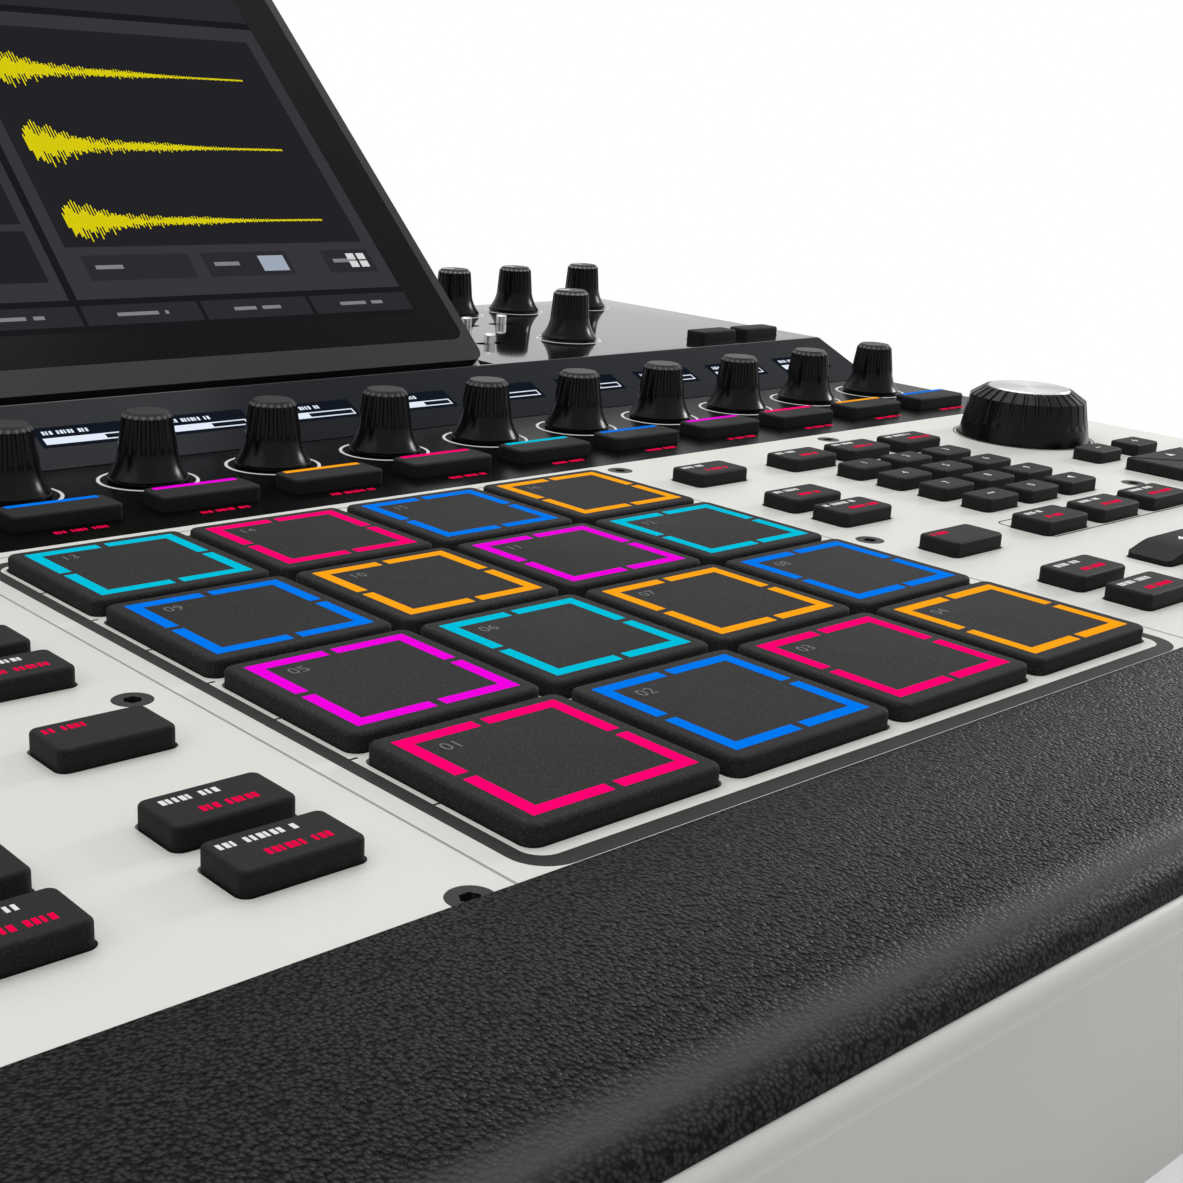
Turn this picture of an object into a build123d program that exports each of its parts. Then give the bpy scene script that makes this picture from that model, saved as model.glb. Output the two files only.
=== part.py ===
from build123d import *
from math import asin, cos, degrees, hypot, radians, sin, sqrt, tan
import os

# A desktop music workstation: a wide low case with a soft front rest, a panel of sixteen pads
# between two fields of keys, a row of sixteen knobs under a sloped strip of small displays,
# and a raised rear deck that carries a tilting screen.
# Millimetres. +X is the player's right, +Y is away from the player, +Z is up, and the feet
# stand on z = 0. Depths are counted back from the front lip.

# Case
WALL = 3.0
FLOOR = 3.0
FOOT_HEIGHT = 6.0
FOOT_DIAMETER = 26.0
FOOT_INSET = 34.0
PANEL_HEIGHT = 66.0
PLATE = 2.5
SEAM = 0.3
EDGE_BREAK = 0.6
LIP_RADIUS = 2.6
LIP_DROP = 10.6
FRONT_SETBACK = 5.0
SHELF = 3.0

# Front rest
REST_DEPTH = 41.7
REST_LAP = 3.2
REST_PROUD = 0.8
REST_FALL = 4.0
REST_CROWN = 0.9
REST_NOSE = 6.0
REST_FRONT = 2.2

# Pads
PAD_COUNT = 4
PAD_SIZE = 35.6
PAD_GAP = 2.4
PAD_CORNER = 2.0
PAD_RISE = 2.9
PAD_EDGE = 0.8
PAD_CLEARANCE = 0.4
PAD_LIP = 0.7
PAD_CORE = 30.0
PAD_TRAVEL = 0.8
PANEL_FRONT_MARGIN = 10.5
PANEL_REAR_MARGIN = 10.9

# Keys on the playing panel
KEY_WIDTH = 17.6
KEY_DEPTH = 10.4
KEY_RISE = 3.3
KEY_CORNER = 1.4
KEY_EDGE = 0.7
KEY_CLEARANCE = 0.35
KEY_LIP = 0.8
KEY_FLANGE = 1.5
KEY_FLANGE_GAP = 0.3
KEY_TRAVEL = 1.0
KEY_REST_GAP = 0.4
PLUNGER = 4.0
KEY_ROW_GAP = 4.65
KEY_COLUMN_GAP = 5.6
FIRST_COLUMN_GAP = 17.8
GROUP_GAP = 17.7
NUMBER_WIDTH = 13.6
NUMBER_DEPTH = 8.2
NUMBER_GAP_X = 4.2
NUMBER_GAP_Y = 4.65
NUMBER_FORWARD = 5.8
SMALL_KEY_WIDTH = 12.6
SMALL_KEY_DEPTH = 8.8
SMALL_KEY_GAP = 7.3
CURSOR_SIZE = 31.0
CURSOR_GROOVE = 1.2
ARROW_WIDTH = 24.0
ARROW_RAMP = 9.0
ARROW_LOW = 1.1

# Data dial
DIAL_DIAMETER = 38.0
DIAL_TOP_DIAMETER = 33.6
DIAL_FACE_DIAMETER = 25.6
DIAL_HEIGHT = 14.6
DIAL_BEVEL = 2.6
DIAL_CAP_DIAMETER = 23.8
DIAL_CAP_THICKNESS = 1.2
DIAL_CAP_PROUD = 0.3
DIAL_FLUTES = 30
DIAL_FLUTE_RADIUS = 0.6
DIAL_FLUTE_FOOT = 5.0
DIAL_FIELD_GAP = 20.3
DIAL_FORWARD = 6.5

# Knob strip
KNOB_COUNT = 16
KNOB_PITCH = 33.5
STRIP_END = 24.75
STRIP_DEPTH = 60.0
KNOB_ROW_FROM_REAR = 18.8
STRIP_KEY_WIDTH = 24.5
STRIP_KEY_DEPTH = 9.8
STRIP_KEY_FROM_FRONT = 17.0

# Knobs and the encoders and pots beneath them
KNOB_SKIRT = 18.2
KNOB_NECK = 13.4
KNOB_TOP = 11.4
KNOB_HEIGHT = 16.2
DECK_KNOB_SKIRT = 18.6
DECK_KNOB_NECK = 13.0
DECK_KNOB_TOP = 11.8
DECK_KNOB_HEIGHT = 16.6
KNOB_SKIRT_LIP = 1.2
KNOB_BEVEL = 1.1
KNOB_FLUTES = 20
KNOB_FLUTE_RADIUS = 0.6
KNOB_FLUTE_FOOT = 1.0
KNOB_FLOAT = 0.4
SHAFT_DIAMETER = 6.0
SHAFT_CLEARANCE = 0.05
SHAFT_REACH = 6.0
BUSHING_DIAMETER = 9.0
BUSHING_RISE = 3.0
BUSHING_CLEARANCE = 0.2
ENCODER_SIZE = 12.5

# Sloped strip of small displays
SLOPE_RUN = 25.3
SLOPE_RISE = 10.9
OLED_WIDTH = 27.0
OLED_DEPTH = 13.0
OLED_THICKNESS = 2.4
OLED_FROM_FOOT = 13.0

# Rear deck
DECK_DEPTH = 116.5
DECK_SIDE = 154.7
DECK_KNOB_COLUMNS = (63.0, 92.0, 126.6)
DECK_KNOB_ROW = 97.2
DECK_FRONT_KNOB = (61.4, 32.3)
DECK_KEY_WIDTH = 18.0
DECK_KEY_DEPTH = 8.0
DECK_KEY_PLACES = ((111.5, 13.0), (133.5, 13.0))
SWITCH_PIN = 3.8
SWITCH_RISE = 3.2
SWITCH_THROW = 3.0
SWITCH_CLEARANCE = 0.3
SWITCH_PLACES = ((29.2, 35.5), (47.7, 70.5), (63.9, 71.1))
VENT_COUNT = 9
VENT_PITCH = 7.0
VENT_WIDTH = 2.6
VENT_LENGTH = 42.0
VENT_FROM_DISPLAY = 40.0
VENT_FROM_FRONT = 70.0

# Tilting display
DISPLAY_WIDTH = 242.6
DISPLAY_HEIGHT = 169.5
DISPLAY_CORNER = 4.0
DISPLAY_TILT = 41.2
DISPLAY_TILT_DOWN = 26.0
DISPLAY_SET_BACK = 2.5
DISPLAY_LIFT = 1.6
SHELL_THICKNESS = 12.0
SHELL_WALL = 2.2
SHELL_FLARE = 2.4
BEZEL = 3.0
BEZEL_SIDE = 3.1
BEZEL_BOTTOM = 8.3
BEZEL_TOP = 4.0
GLASS = 1.8
GLASS_CLEARANCE = 0.15
GLASS_LEDGE = 3.0
LCD_MARGIN = 12.0
LCD_THICKNESS = 4.7
HINGE_UP = 6.0
HINGE_IN = 7.2
HINGE_SPACING = 170.0
HINGE_EAR_RADIUS = 3.6
HINGE_EAR_WIDTH = 11.0
HINGE_BLOCK_WIDTH = 34.0
HINGE_BLOCK_ROOF = 4.2
HINGE_PIN_DIAMETER = 4.0
HINGE_PIN_REACH = 7.0
HINGE_CLEARANCE = 0.05
HINGE_SIDE_GAP = 0.4
WELL_CLEARANCE = 0.7
WELL_REAR_ROOM = 3.0
WELL_FLOOR = 2.0

# Fasteners, boards and sockets
SCREW_HEAD = 6.2
SCREW_HEAD_HEIGHT = 1.5
SCREW_SHANK = 3.0
SCREW_LENGTH = 6.0
SCREW_SOCKET = 2.6
SCREW_CLEARANCE = 0.1
SCREW_FROM_KEYS = 3.7
SCREW_FROM_FRONT = 4.9
BOARD = 1.6
BOARD_DROP = 12.0
BOARD_MARGIN = 4.0
POST_DIAMETER = 8.0
STANDOFF_HEIGHT = 6.0
MAIN_BOARD_SIZE = (230.0, 84.0)
MAIN_BOARD_X = 60.0
SUPPLY_SIZE = (110.0, 70.0, 38.0)
SUPPLY_X = -170.0
SOCKET_PROUD = 1.5
SOCKET_WALL = 2.2
SOCKET_BODY_DEPTH = 18.0
SOCKET_BACK = 3.0
SOCKET_CLEARANCE = 0.2
JACK_BORE = 6.5
DIN_BORE = 13.5
POWER_BORE = 5.6
JACK_PLACES = (-60.0, -36.0, -12.0, 12.0, 36.0, 60.0)
DIN_PLACES = (110.0, 140.0)
POWER_PLACE = -200.0

# Levels
z_base = FOOT_HEIGHT
z_floor = z_base + FLOOR
z_panel = PANEL_HEIGHT
z_under = z_panel - PLATE
z_deck = z_panel + SLOPE_RISE
z_deck_under = z_deck - PLATE
z_shelf = z_panel - LIP_DROP + LIP_RADIUS
z_board = z_panel - BOARD_DROP
slope_length = hypot(SLOPE_RUN, SLOPE_RISE)
slope_drop = PLATE * slope_length / SLOPE_RUN
slope_dip = (slope_drop - PLATE) * SLOPE_RUN / SLOPE_RISE

# Depths behind the front lip
pad_pitch = PAD_SIZE + PAD_GAP
pad_field = PAD_COUNT * pad_pitch - PAD_GAP
d_panel = REST_DEPTH
d_pads = d_panel + PANEL_FRONT_MARGIN + pad_field / 2
d_strip = d_panel + PANEL_FRONT_MARGIN + pad_field + PANEL_REAR_MARGIN
d_slope = d_strip + STRIP_DEPTH
d_deck = d_slope + SLOPE_RUN
d_rear = d_deck + DECK_DEPTH

# The screen leans back from its lower front edge; its hinge lies inside its lower edge.
lean = radians(DISPLAY_TILT)
d_screen = d_deck + DISPLAY_SET_BACK
z_screen = z_deck + DISPLAY_LIFT
d_hinge = d_screen + HINGE_UP * cos(lean) + HINGE_IN * sin(lean)
z_hinge = z_screen + HINGE_UP * sin(lean) - HINGE_IN * cos(lean)
hinge_swing = hypot(HINGE_UP, max(HINGE_IN, SHELL_THICKNESS - HINGE_IN))
d_display_rear = d_screen + DISPLAY_HEIGHT * cos(lean) + SHELL_THICKNESS * sin(lean)
overall_depth = max(d_display_rear, d_rear + SOCKET_PROUD)
y_front = -overall_depth / 2


def at(depth):
    """The Y of a place that lies this far behind the front lip."""
    return y_front + depth


# Columns and rows of the key fields, from the centre of the pads
row_pitch = KEY_DEPTH + KEY_ROW_GAP
column_pitch = KEY_WIDTH + KEY_COLUMN_GAP
column_1 = pad_field / 2 + FIRST_COLUMN_GAP + KEY_WIDTH / 2
column_2 = column_1 + KEY_WIDTH + GROUP_GAP
column_3 = column_2 + column_pitch
column_4 = column_3 + column_pitch
number_pitch_x = NUMBER_WIDTH + NUMBER_GAP_X
number_pitch_y = NUMBER_DEPTH + NUMBER_GAP_Y
number_reach = column_3 + 1.5 * number_pitch_x
dial_x = max(column_4 + KEY_WIDTH / 2, number_reach) + DIAL_FIELD_GAP + DIAL_DIAMETER / 2
field_reach = dial_x + max(DIAL_DIAMETER, CURSOR_SIZE) / 2
knob_row_reach = (KNOB_COUNT - 1) * KNOB_PITCH / 2 + STRIP_END
half_width = max(knob_row_reach, DISPLAY_WIDTH / 2 + DECK_SIDE, field_reach + STRIP_END / 2)
half_display = DISPLAY_WIDTH / 2


def row(index):
    """The Y of one of the nine key rows, counted from the rear."""
    return at(d_pads) + (4 - index) * row_pitch


def pad_places():
    """Pad centres, from the front left to the rear right."""
    first = -(PAD_COUNT - 1) / 2
    return [
        ((first + column) * pad_pitch, at(d_pads) + (first + line) * pad_pitch)
        for line in range(PAD_COUNT)
        for column in range(PAD_COUNT)
    ]


key_rows = (row(0), row(2), row(3), row(5), row(7), row(8))
right_places = [(column_1, y) for y in key_rows]
right_places += [(x, row(0)) for x in (column_2, column_3, column_4)]
right_places += [(x, row(5)) for x in (column_2, column_3, column_4)]
right_places += [(x, row(8)) for x in (column_2, column_3, column_4)]
left_columns = [-column_1 - step * (KEY_WIDTH + GROUP_GAP) for step in range(5)]
left_places = [(x, y) for x in left_columns for y in key_rows]
number_centre = (column_3, row(2) - NUMBER_FORWARD)
number_places = [
    (number_centre[0] + i * number_pitch_x, number_centre[1] + (j - 1.5) * number_pitch_y)
    for i in (-1, 0, 1)
    for j in range(4)
]
dial_place = (dial_x, row(0) - DIAL_FORWARD)
small_y = dial_place[1] - DIAL_DIAMETER / 2 - SMALL_KEY_DEPTH / 2 - SMALL_KEY_GAP
small_pitch = SMALL_KEY_WIDTH + SMALL_KEY_GAP
small_places = [(dial_x - small_pitch / 2, small_y), (dial_x + small_pitch / 2, small_y)]
cursor_place = (dial_x, small_y - SMALL_KEY_DEPTH / 2 - SMALL_KEY_GAP - CURSOR_SIZE / 2)
arrow_left_x = column_2 - KEY_WIDTH / 2 + ARROW_WIDTH / 2
arrow_places = [(arrow_left_x, row(7)), (arrow_left_x + ARROW_WIDTH + KEY_COLUMN_GAP, row(7))]
strip_key_places = [
    ((i - (KNOB_COUNT - 1) / 2) * KNOB_PITCH, at(d_strip + STRIP_KEY_FROM_FRONT))
    for i in range(KNOB_COUNT)
]
knob_places = [(x, at(d_slope - KNOB_ROW_FROM_REAR)) for x, y in strip_key_places]
deck_knob_places = [
    (half_display + x, at(d_deck + DECK_KNOB_ROW)) for x in DECK_KNOB_COLUMNS
]
deck_knob_places.append((half_display + DECK_FRONT_KNOB[0], at(d_deck + DECK_FRONT_KNOB[1])))
deck_key_places = [(half_display + x, at(d_deck + d)) for x, d in DECK_KEY_PLACES]
switch_places = [(half_display + x, at(d_deck + d)) for x, d in SWITCH_PLACES]
screw_column = column_1 - KEY_WIDTH / 2 - SCREW_FROM_KEYS
rear_screw_y = at(d_strip) - SCREW_HEAD
front_screw_y = at(d_panel) + SCREW_FROM_FRONT
side_screw_x = (number_reach + cursor_place[0] - CURSOR_SIZE / 2) / 2
screw_places = [
    (side * x, y)
    for side in (-1, 1)
    for x, y in (
        (screw_column, row(4)),
        (screw_column, rear_screw_y),
        (screw_column, front_screw_y),
        ((column_3 + column_4) / 2, rear_screw_y),
    )
]
screw_places.append((side_screw_x, row(4)))

os.makedirs("parts", exist_ok=True)


def save(piece, name):
    """Label a finished piece and write it as its own file."""
    piece.part.label = name
    export_step(piece.part, f"parts/{name}.step")


def rectangles(places, width, depth, corner):
    """Draw one rounded rectangle at each place of the current sketch."""
    with Locations(*places):
        RectangleRounded(width, depth, corner)


def key_holes(places, width, depth):
    """Draw the holes that keys of this size pass through."""
    rectangles(places, width + 2 * KEY_CLEARANCE, depth + 2 * KEY_CLEARANCE, KEY_CORNER + KEY_CLEARANCE)


def flat_plate(depth_from, depth_to, z_bottom):
    """Start a full-width plate of the top, seamed at its front edge, and return its sketch plane."""
    middle = (at(depth_from) + SEAM + at(depth_to)) / 2
    return Plane(origin=(0, middle, z_bottom)), depth_to - depth_from - SEAM


# Lower case: a tray with walls up to the top plates, with the rounded lip and the shelf
# that carries the front rest, posts for the control board and standoffs for the main board.
board_front = at(d_panel + WALL + BOARD_MARGIN)
board_rear = at(d_slope - BOARD_MARGIN)
board_half = half_width - WALL - BOARD_MARGIN
post_x = board_half - POST_DIAMETER
post_y = (board_rear - board_front) / 2 - POST_DIAMETER
board_middle = (board_front + board_rear) / 2
main_board_y = at(d_rear - WALL - SOCKET_BODY_DEPTH) - MAIN_BOARD_SIZE[1] / 2 - BOARD_MARGIN
jack_z = (z_floor + STANDOFF_HEIGHT + BOARD + z_deck_under) / 2
sockets = [(x, JACK_BORE) for x in JACK_PLACES]
sockets += [(x, DIN_BORE) for x in DIN_PLACES]
sockets.append((POWER_PLACE, POWER_BORE))
lip_y = at(LIP_RADIUS)
lip_z = z_panel - LIP_DROP
rear_face = Plane(origin=(0, at(d_rear), 0), x_dir=(-1, 0, 0), z_dir=(0, 1, 0))

with BuildPart() as lower_chassis:
    with BuildSketch(Plane.YZ.offset(-half_width)):
        with BuildLine():
            Polyline(
                (lip_y, z_shelf),
                (at(d_panel), z_shelf),
                (at(d_panel), z_under),
                (at(d_slope), z_under),
                (at(d_slope), z_panel - slope_drop),
                (at(d_slope) + slope_dip, z_under),
                (at(d_rear), z_under),
                (at(d_rear), z_base),
                (at(FRONT_SETBACK), z_base),
                (at(FRONT_SETBACK), lip_z - LIP_RADIUS),
                (lip_y, lip_z - LIP_RADIUS),
            )
            ThreePointArc(
                (lip_y, lip_z - LIP_RADIUS),
                (lip_y - LIP_RADIUS, lip_z),
                (lip_y, z_shelf),
            )
        make_face()
    extrude(amount=2 * half_width)
    with BuildSketch(Plane.YZ.offset(WALL - half_width)):
        with BuildLine():
            Polyline(
                (at(FRONT_SETBACK + WALL), z_floor),
                (at(FRONT_SETBACK + WALL), z_shelf - SHELF),
                (at(d_panel + WALL), z_shelf - SHELF),
                (at(d_panel + WALL), z_deck),
                (at(d_rear - WALL), z_deck),
                (at(d_rear - WALL), z_floor),
                close=True,
            )
        make_face()
    extrude(amount=2 * (half_width - WALL), mode=Mode.SUBTRACT)
    with BuildSketch(Plane.XY.offset(z_floor)):
        with Locations((0, board_middle)):
            with GridLocations(2 * post_x / 3, 2 * post_y, 4, 2):
                Circle(POST_DIAMETER / 2)
    extrude(amount=z_board - BOARD - z_floor)
    with BuildSketch(Plane.XY.offset(z_floor)):
        with Locations((MAIN_BOARD_X, main_board_y)):
            with GridLocations(
                MAIN_BOARD_SIZE[0] - 2 * POST_DIAMETER, MAIN_BOARD_SIZE[1] - 2 * POST_DIAMETER, 2, 2
            ):
                Circle(POST_DIAMETER / 2)
    extrude(amount=STANDOFF_HEIGHT)
    with BuildSketch(rear_face):
        for x, bore in sockets:
            with Locations((-x, jack_z)):
                Circle(bore / 2 + SOCKET_WALL + SOCKET_CLEARANCE)
    extrude(amount=-WALL, mode=Mode.SUBTRACT)
    fillet(lower_chassis.edges().filter_by(Axis.X).group_by(Axis.Z)[0], FLOOR / 2)
save(lower_chassis, "lower_chassis")

# Feet
foot_x = half_width - FOOT_INSET
foot_y = (d_rear - FRONT_SETBACK) / 2 - FOOT_INSET
foot_middle = at((d_rear + FRONT_SETBACK) / 2)
with BuildPart() as rubber_feet:
    with BuildSketch():
        with Locations((0, foot_middle)):
            with GridLocations(foot_x, 2 * foot_y, 3, 2):
                Circle(FOOT_DIAMETER / 2)
    extrude(amount=FOOT_HEIGHT)
    chamfer(rubber_feet.edges().group_by(Axis.Z)[0], EDGE_BREAK)
save(rubber_feet, "rubber_feet")

# Front rest: a firm padded bar that laps over the panel's front edge, with a crowned top that
# falls towards a rounded nose.
rest_rear = at(d_panel) - SEAM
rest_top = (at(d_panel + REST_LAP), z_panel + REST_PROUD)
rest_ridge = (at(REST_FRONT + REST_NOSE), z_panel - REST_FALL)
rest_middle = (
    (rest_top[0] + rest_ridge[0]) / 2,
    (rest_top[1] + rest_ridge[1]) / 2 + REST_CROWN,
)
rest_toe = (at(REST_FRONT), z_shelf)
nose_bulge = sqrt(0.5)
rest_nose = (
    rest_ridge[0] - REST_NOSE * nose_bulge,
    rest_toe[1] + (rest_ridge[1] - rest_toe[1]) * nose_bulge,
)
with BuildPart() as armrest_pad:
    with BuildSketch(Plane.YZ.offset(-half_width)):
        with BuildLine():
            ThreePointArc(rest_top, rest_middle, rest_ridge)
            ThreePointArc(rest_ridge, rest_nose, rest_toe)
            Polyline(
                rest_toe,
                (rest_rear, z_shelf),
                (rest_rear, z_panel),
                (rest_top[0], z_panel),
                rest_top,
            )
        make_face()
    extrude(amount=2 * half_width)
save(armrest_pad, "armrest_pad")

# Playing panel, with the holes that pads, keys, dial and screws pass through
function_places = right_places + left_places
plane, panel_depth = flat_plate(d_panel, d_strip, z_under)
with BuildPart() as main_panel:
    with BuildSketch(plane):
        Rectangle(2 * half_width, panel_depth)
    extrude(amount=PLATE)
    with BuildSketch(Plane.XY.offset(z_panel)):
        hole = PAD_SIZE + 2 * PAD_CLEARANCE
        rectangles(pad_places(), hole, hole, PAD_CORNER + PAD_CLEARANCE)
        key_holes(function_places, KEY_WIDTH, KEY_DEPTH)
        key_holes(number_places, NUMBER_WIDTH, NUMBER_DEPTH)
        key_holes(small_places, SMALL_KEY_WIDTH, SMALL_KEY_DEPTH)
        key_holes(arrow_places, ARROW_WIDTH, KEY_DEPTH)
        key_holes([cursor_place], CURSOR_SIZE, CURSOR_SIZE)
        with Locations(dial_place):
            Circle(BUSHING_DIAMETER / 2 + BUSHING_CLEARANCE)
        with Locations(*screw_places):
            Circle(SCREW_SHANK / 2 + SCREW_CLEARANCE)
    extrude(amount=-PLATE, mode=Mode.SUBTRACT)
    with BuildSketch(Plane.XY.offset(z_panel)):
        with Locations(*screw_places):
            Circle(SCREW_HEAD / 2 + SCREW_CLEARANCE)
    extrude(amount=-SCREW_HEAD_HEIGHT, mode=Mode.SUBTRACT)
    chamfer(main_panel.edges().filter_by(Axis.Y).group_by(SortBy.LENGTH)[-1].group_by(Axis.Z)[-1], EDGE_BREAK)
save(main_panel, "main_panel")

# Flush hex-socket screws of the panel
with BuildPart() as panel_screws:
    with BuildSketch(Plane.XY.offset(z_panel - SCREW_HEAD_HEIGHT)):
        with Locations(*screw_places):
            Circle(SCREW_HEAD / 2)
    extrude(amount=SCREW_HEAD_HEIGHT)
    with BuildSketch(Plane.XY.offset(z_panel - SCREW_HEAD_HEIGHT)):
        with Locations(*screw_places):
            Circle(SCREW_SHANK / 2)
    extrude(amount=-SCREW_LENGTH)
    with BuildSketch(Plane.XY.offset(z_panel)):
        with Locations(*screw_places):
            RegularPolygon(SCREW_SOCKET / 2, 6, major_radius=False)
    extrude(amount=-SCREW_HEAD_HEIGHT, mode=Mode.SUBTRACT)
save(panel_screws, "panel_screws")

# Knob strip
plane, strip_depth = flat_plate(d_strip, d_slope, z_under)
with BuildPart() as knob_strip:
    with BuildSketch(plane):
        Rectangle(2 * half_width, strip_depth)
    extrude(amount=PLATE)
    with BuildSketch(Plane.XY.offset(z_panel)):
        key_holes(strip_key_places, STRIP_KEY_WIDTH, STRIP_KEY_DEPTH)
        with Locations(*knob_places):
            Circle(BUSHING_DIAMETER / 2 + BUSHING_CLEARANCE)
    extrude(amount=-PLATE, mode=Mode.SUBTRACT)
save(knob_strip, "knob_strip")

# Sloped display strip: one dark lens across the case, with a small display behind it per knob
slope_normal = (0, -SLOPE_RISE / slope_length, SLOPE_RUN / slope_length)
slope_back = Plane(
    origin=(0, at(d_slope), z_panel - slope_drop), x_dir=(1, 0, 0), z_dir=slope_normal
)
with BuildPart() as display_strip:
    with BuildSketch(Plane.YZ.offset(-half_width)):
        with BuildLine():
            Polyline(
                (at(d_slope) + SEAM, z_panel + SEAM * SLOPE_RISE / SLOPE_RUN),
                (at(d_deck), z_deck),
                (at(d_deck), z_deck - slope_drop),
                (at(d_slope) + SEAM, z_panel - slope_drop + SEAM * SLOPE_RISE / SLOPE_RUN),
                close=True,
            )
        make_face()
    extrude(amount=2 * half_width)
save(display_strip, "display_strip")

with BuildPart() as oled_modules:
    with BuildSketch(slope_back):
        with Locations(*[(x, OLED_FROM_FOOT) for x, y in knob_places]):
            Rectangle(OLED_WIDTH, OLED_DEPTH)
    extrude(amount=-OLED_THICKNESS)
save(oled_modules, "oled_modules")

# Rear deck, with side cheeks, a rear skirt and the well that the screen's lower edge swings in
lowest = radians(DISPLAY_TILT - DISPLAY_TILT_DOWN)
well_front = at(d_hinge) - hinge_swing - WELL_CLEARANCE
back_below = (SHELL_THICKNESS - HINGE_IN) / cos(lowest)
well_rear = at(d_hinge) + (z_deck - z_hinge + back_below) / tan(lowest) + WELL_REAR_ROOM
z_well = z_hinge - hinge_swing - WELL_CLEARANCE
well_half = half_display + SHELL_FLARE + WELL_CLEARANCE
well_middle = (well_front + well_rear) / 2
well_wall = well_front - at(d_deck) - SEAM
plane, deck_depth = flat_plate(d_deck, d_rear, z_deck_under)
with BuildPart() as rear_deck:
    with BuildSketch(Plane.YZ.offset(-half_width)):
        with BuildLine():
            Polyline(
                (at(d_slope) + slope_dip, z_under),
                (at(d_deck), z_deck - slope_drop),
                (at(d_deck), z_deck_under),
                (at(d_rear), z_deck_under),
                (at(d_rear), z_under),
                close=True,
            )
        make_face()
    extrude(amount=2 * half_width)
    with BuildSketch(Plane.XY.offset(z_under)):
        with Locations((0, at((d_slope + d_rear - WALL) / 2))):
            Rectangle(2 * (half_width - WALL), d_rear - WALL - d_slope)
    extrude(amount=SLOPE_RISE, mode=Mode.SUBTRACT)
    with BuildSketch(plane):
        Rectangle(2 * half_width, deck_depth)
    extrude(amount=PLATE)
    with BuildSketch(Plane.XY.offset(z_well - WELL_FLOOR)):
        with Locations((0, well_middle)):
            Rectangle(2 * (well_half + well_wall), well_rear - well_front + 2 * well_wall)
    extrude(amount=z_deck - z_well + WELL_FLOOR)
    with BuildSketch(Plane.XY.offset(z_well)):
        with Locations((0, well_middle)):
            Rectangle(2 * well_half, well_rear - well_front)
    extrude(amount=z_deck - z_well, mode=Mode.SUBTRACT)
    with BuildSketch(Plane.XY.offset(z_deck)):
        key_holes(deck_key_places, DECK_KEY_WIDTH, DECK_KEY_DEPTH)
        with Locations(*deck_knob_places):
            Circle(BUSHING_DIAMETER / 2 + BUSHING_CLEARANCE)
        with Locations(*switch_places):
            slot_width = SWITCH_PIN + 2 * SWITCH_CLEARANCE
            SlotOverall(slot_width + 2 * SWITCH_THROW, slot_width)
        with Locations((-half_display - VENT_FROM_DISPLAY - VENT_LENGTH / 2, at(d_deck + VENT_FROM_FRONT))):
            with GridLocations(0, VENT_PITCH, 1, VENT_COUNT):
                SlotOverall(VENT_LENGTH, VENT_WIDTH)
    extrude(amount=-PLATE, mode=Mode.SUBTRACT)
    fillet(rear_deck.edges().filter_by(Axis.X).group_by(SortBy.LENGTH)[-1].group_by(Axis.Z)[-1], EDGE_BREAK)
save(rear_deck, "rear_deck")

# Encoders, pots and the dial's encoder: a body under its plate with a bored bushing through it
stem_drop = PLATE + SHAFT_REACH
turned_places = [(x, y, z_panel) for x, y in knob_places + [dial_place]]
turned_places += [(x, y, z_deck) for x, y in deck_knob_places]
body_height = BOARD_DROP - PLATE
with BuildPart() as encoder_bodies:
    for z_plate in (z_panel, z_deck):
        places = [(x, y) for x, y, z in turned_places if z == z_plate]
        with BuildSketch(Plane.XY.offset(z_plate - PLATE)):
            with Locations(*places):
                Rectangle(ENCODER_SIZE, ENCODER_SIZE)
        extrude(amount=-body_height)
        with BuildSketch(Plane.XY.offset(z_plate - PLATE)):
            with Locations(*places):
                Circle(BUSHING_DIAMETER / 2)
        extrude(amount=PLATE + BUSHING_RISE)
        with BuildSketch(Plane.XY.offset(z_plate + BUSHING_RISE)):
            with Locations(*places):
                Circle(SHAFT_DIAMETER / 2 + SHAFT_CLEARANCE)
        extrude(amount=-(BUSHING_RISE + stem_drop + KNOB_FLOAT), mode=Mode.SUBTRACT)
save(encoder_bodies, "encoder_bodies")

# Boards: one under the pads, keys and knobs, one on the floor under the deck
with BuildPart() as circuit_boards:
    with BuildSketch(Plane.XY.offset(z_board - BOARD)):
        with Locations((0, board_middle)):
            Rectangle(2 * board_half, board_rear - board_front)
    extrude(amount=BOARD)
    with BuildSketch(Plane.XY.offset(z_floor + STANDOFF_HEIGHT)):
        with Locations((MAIN_BOARD_X, main_board_y)):
            Rectangle(*MAIN_BOARD_SIZE)
    extrude(amount=BOARD)
save(circuit_boards, "circuit_boards")

with BuildPart() as power_supply:
    with BuildSketch(Plane.XY.offset(z_floor)):
        with Locations((SUPPLY_X, main_board_y)):
            RectangleRounded(SUPPLY_SIZE[0], SUPPLY_SIZE[1], EDGE_BREAK)
    extrude(amount=SUPPLY_SIZE[2])
save(power_supply, "power_supply")

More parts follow.
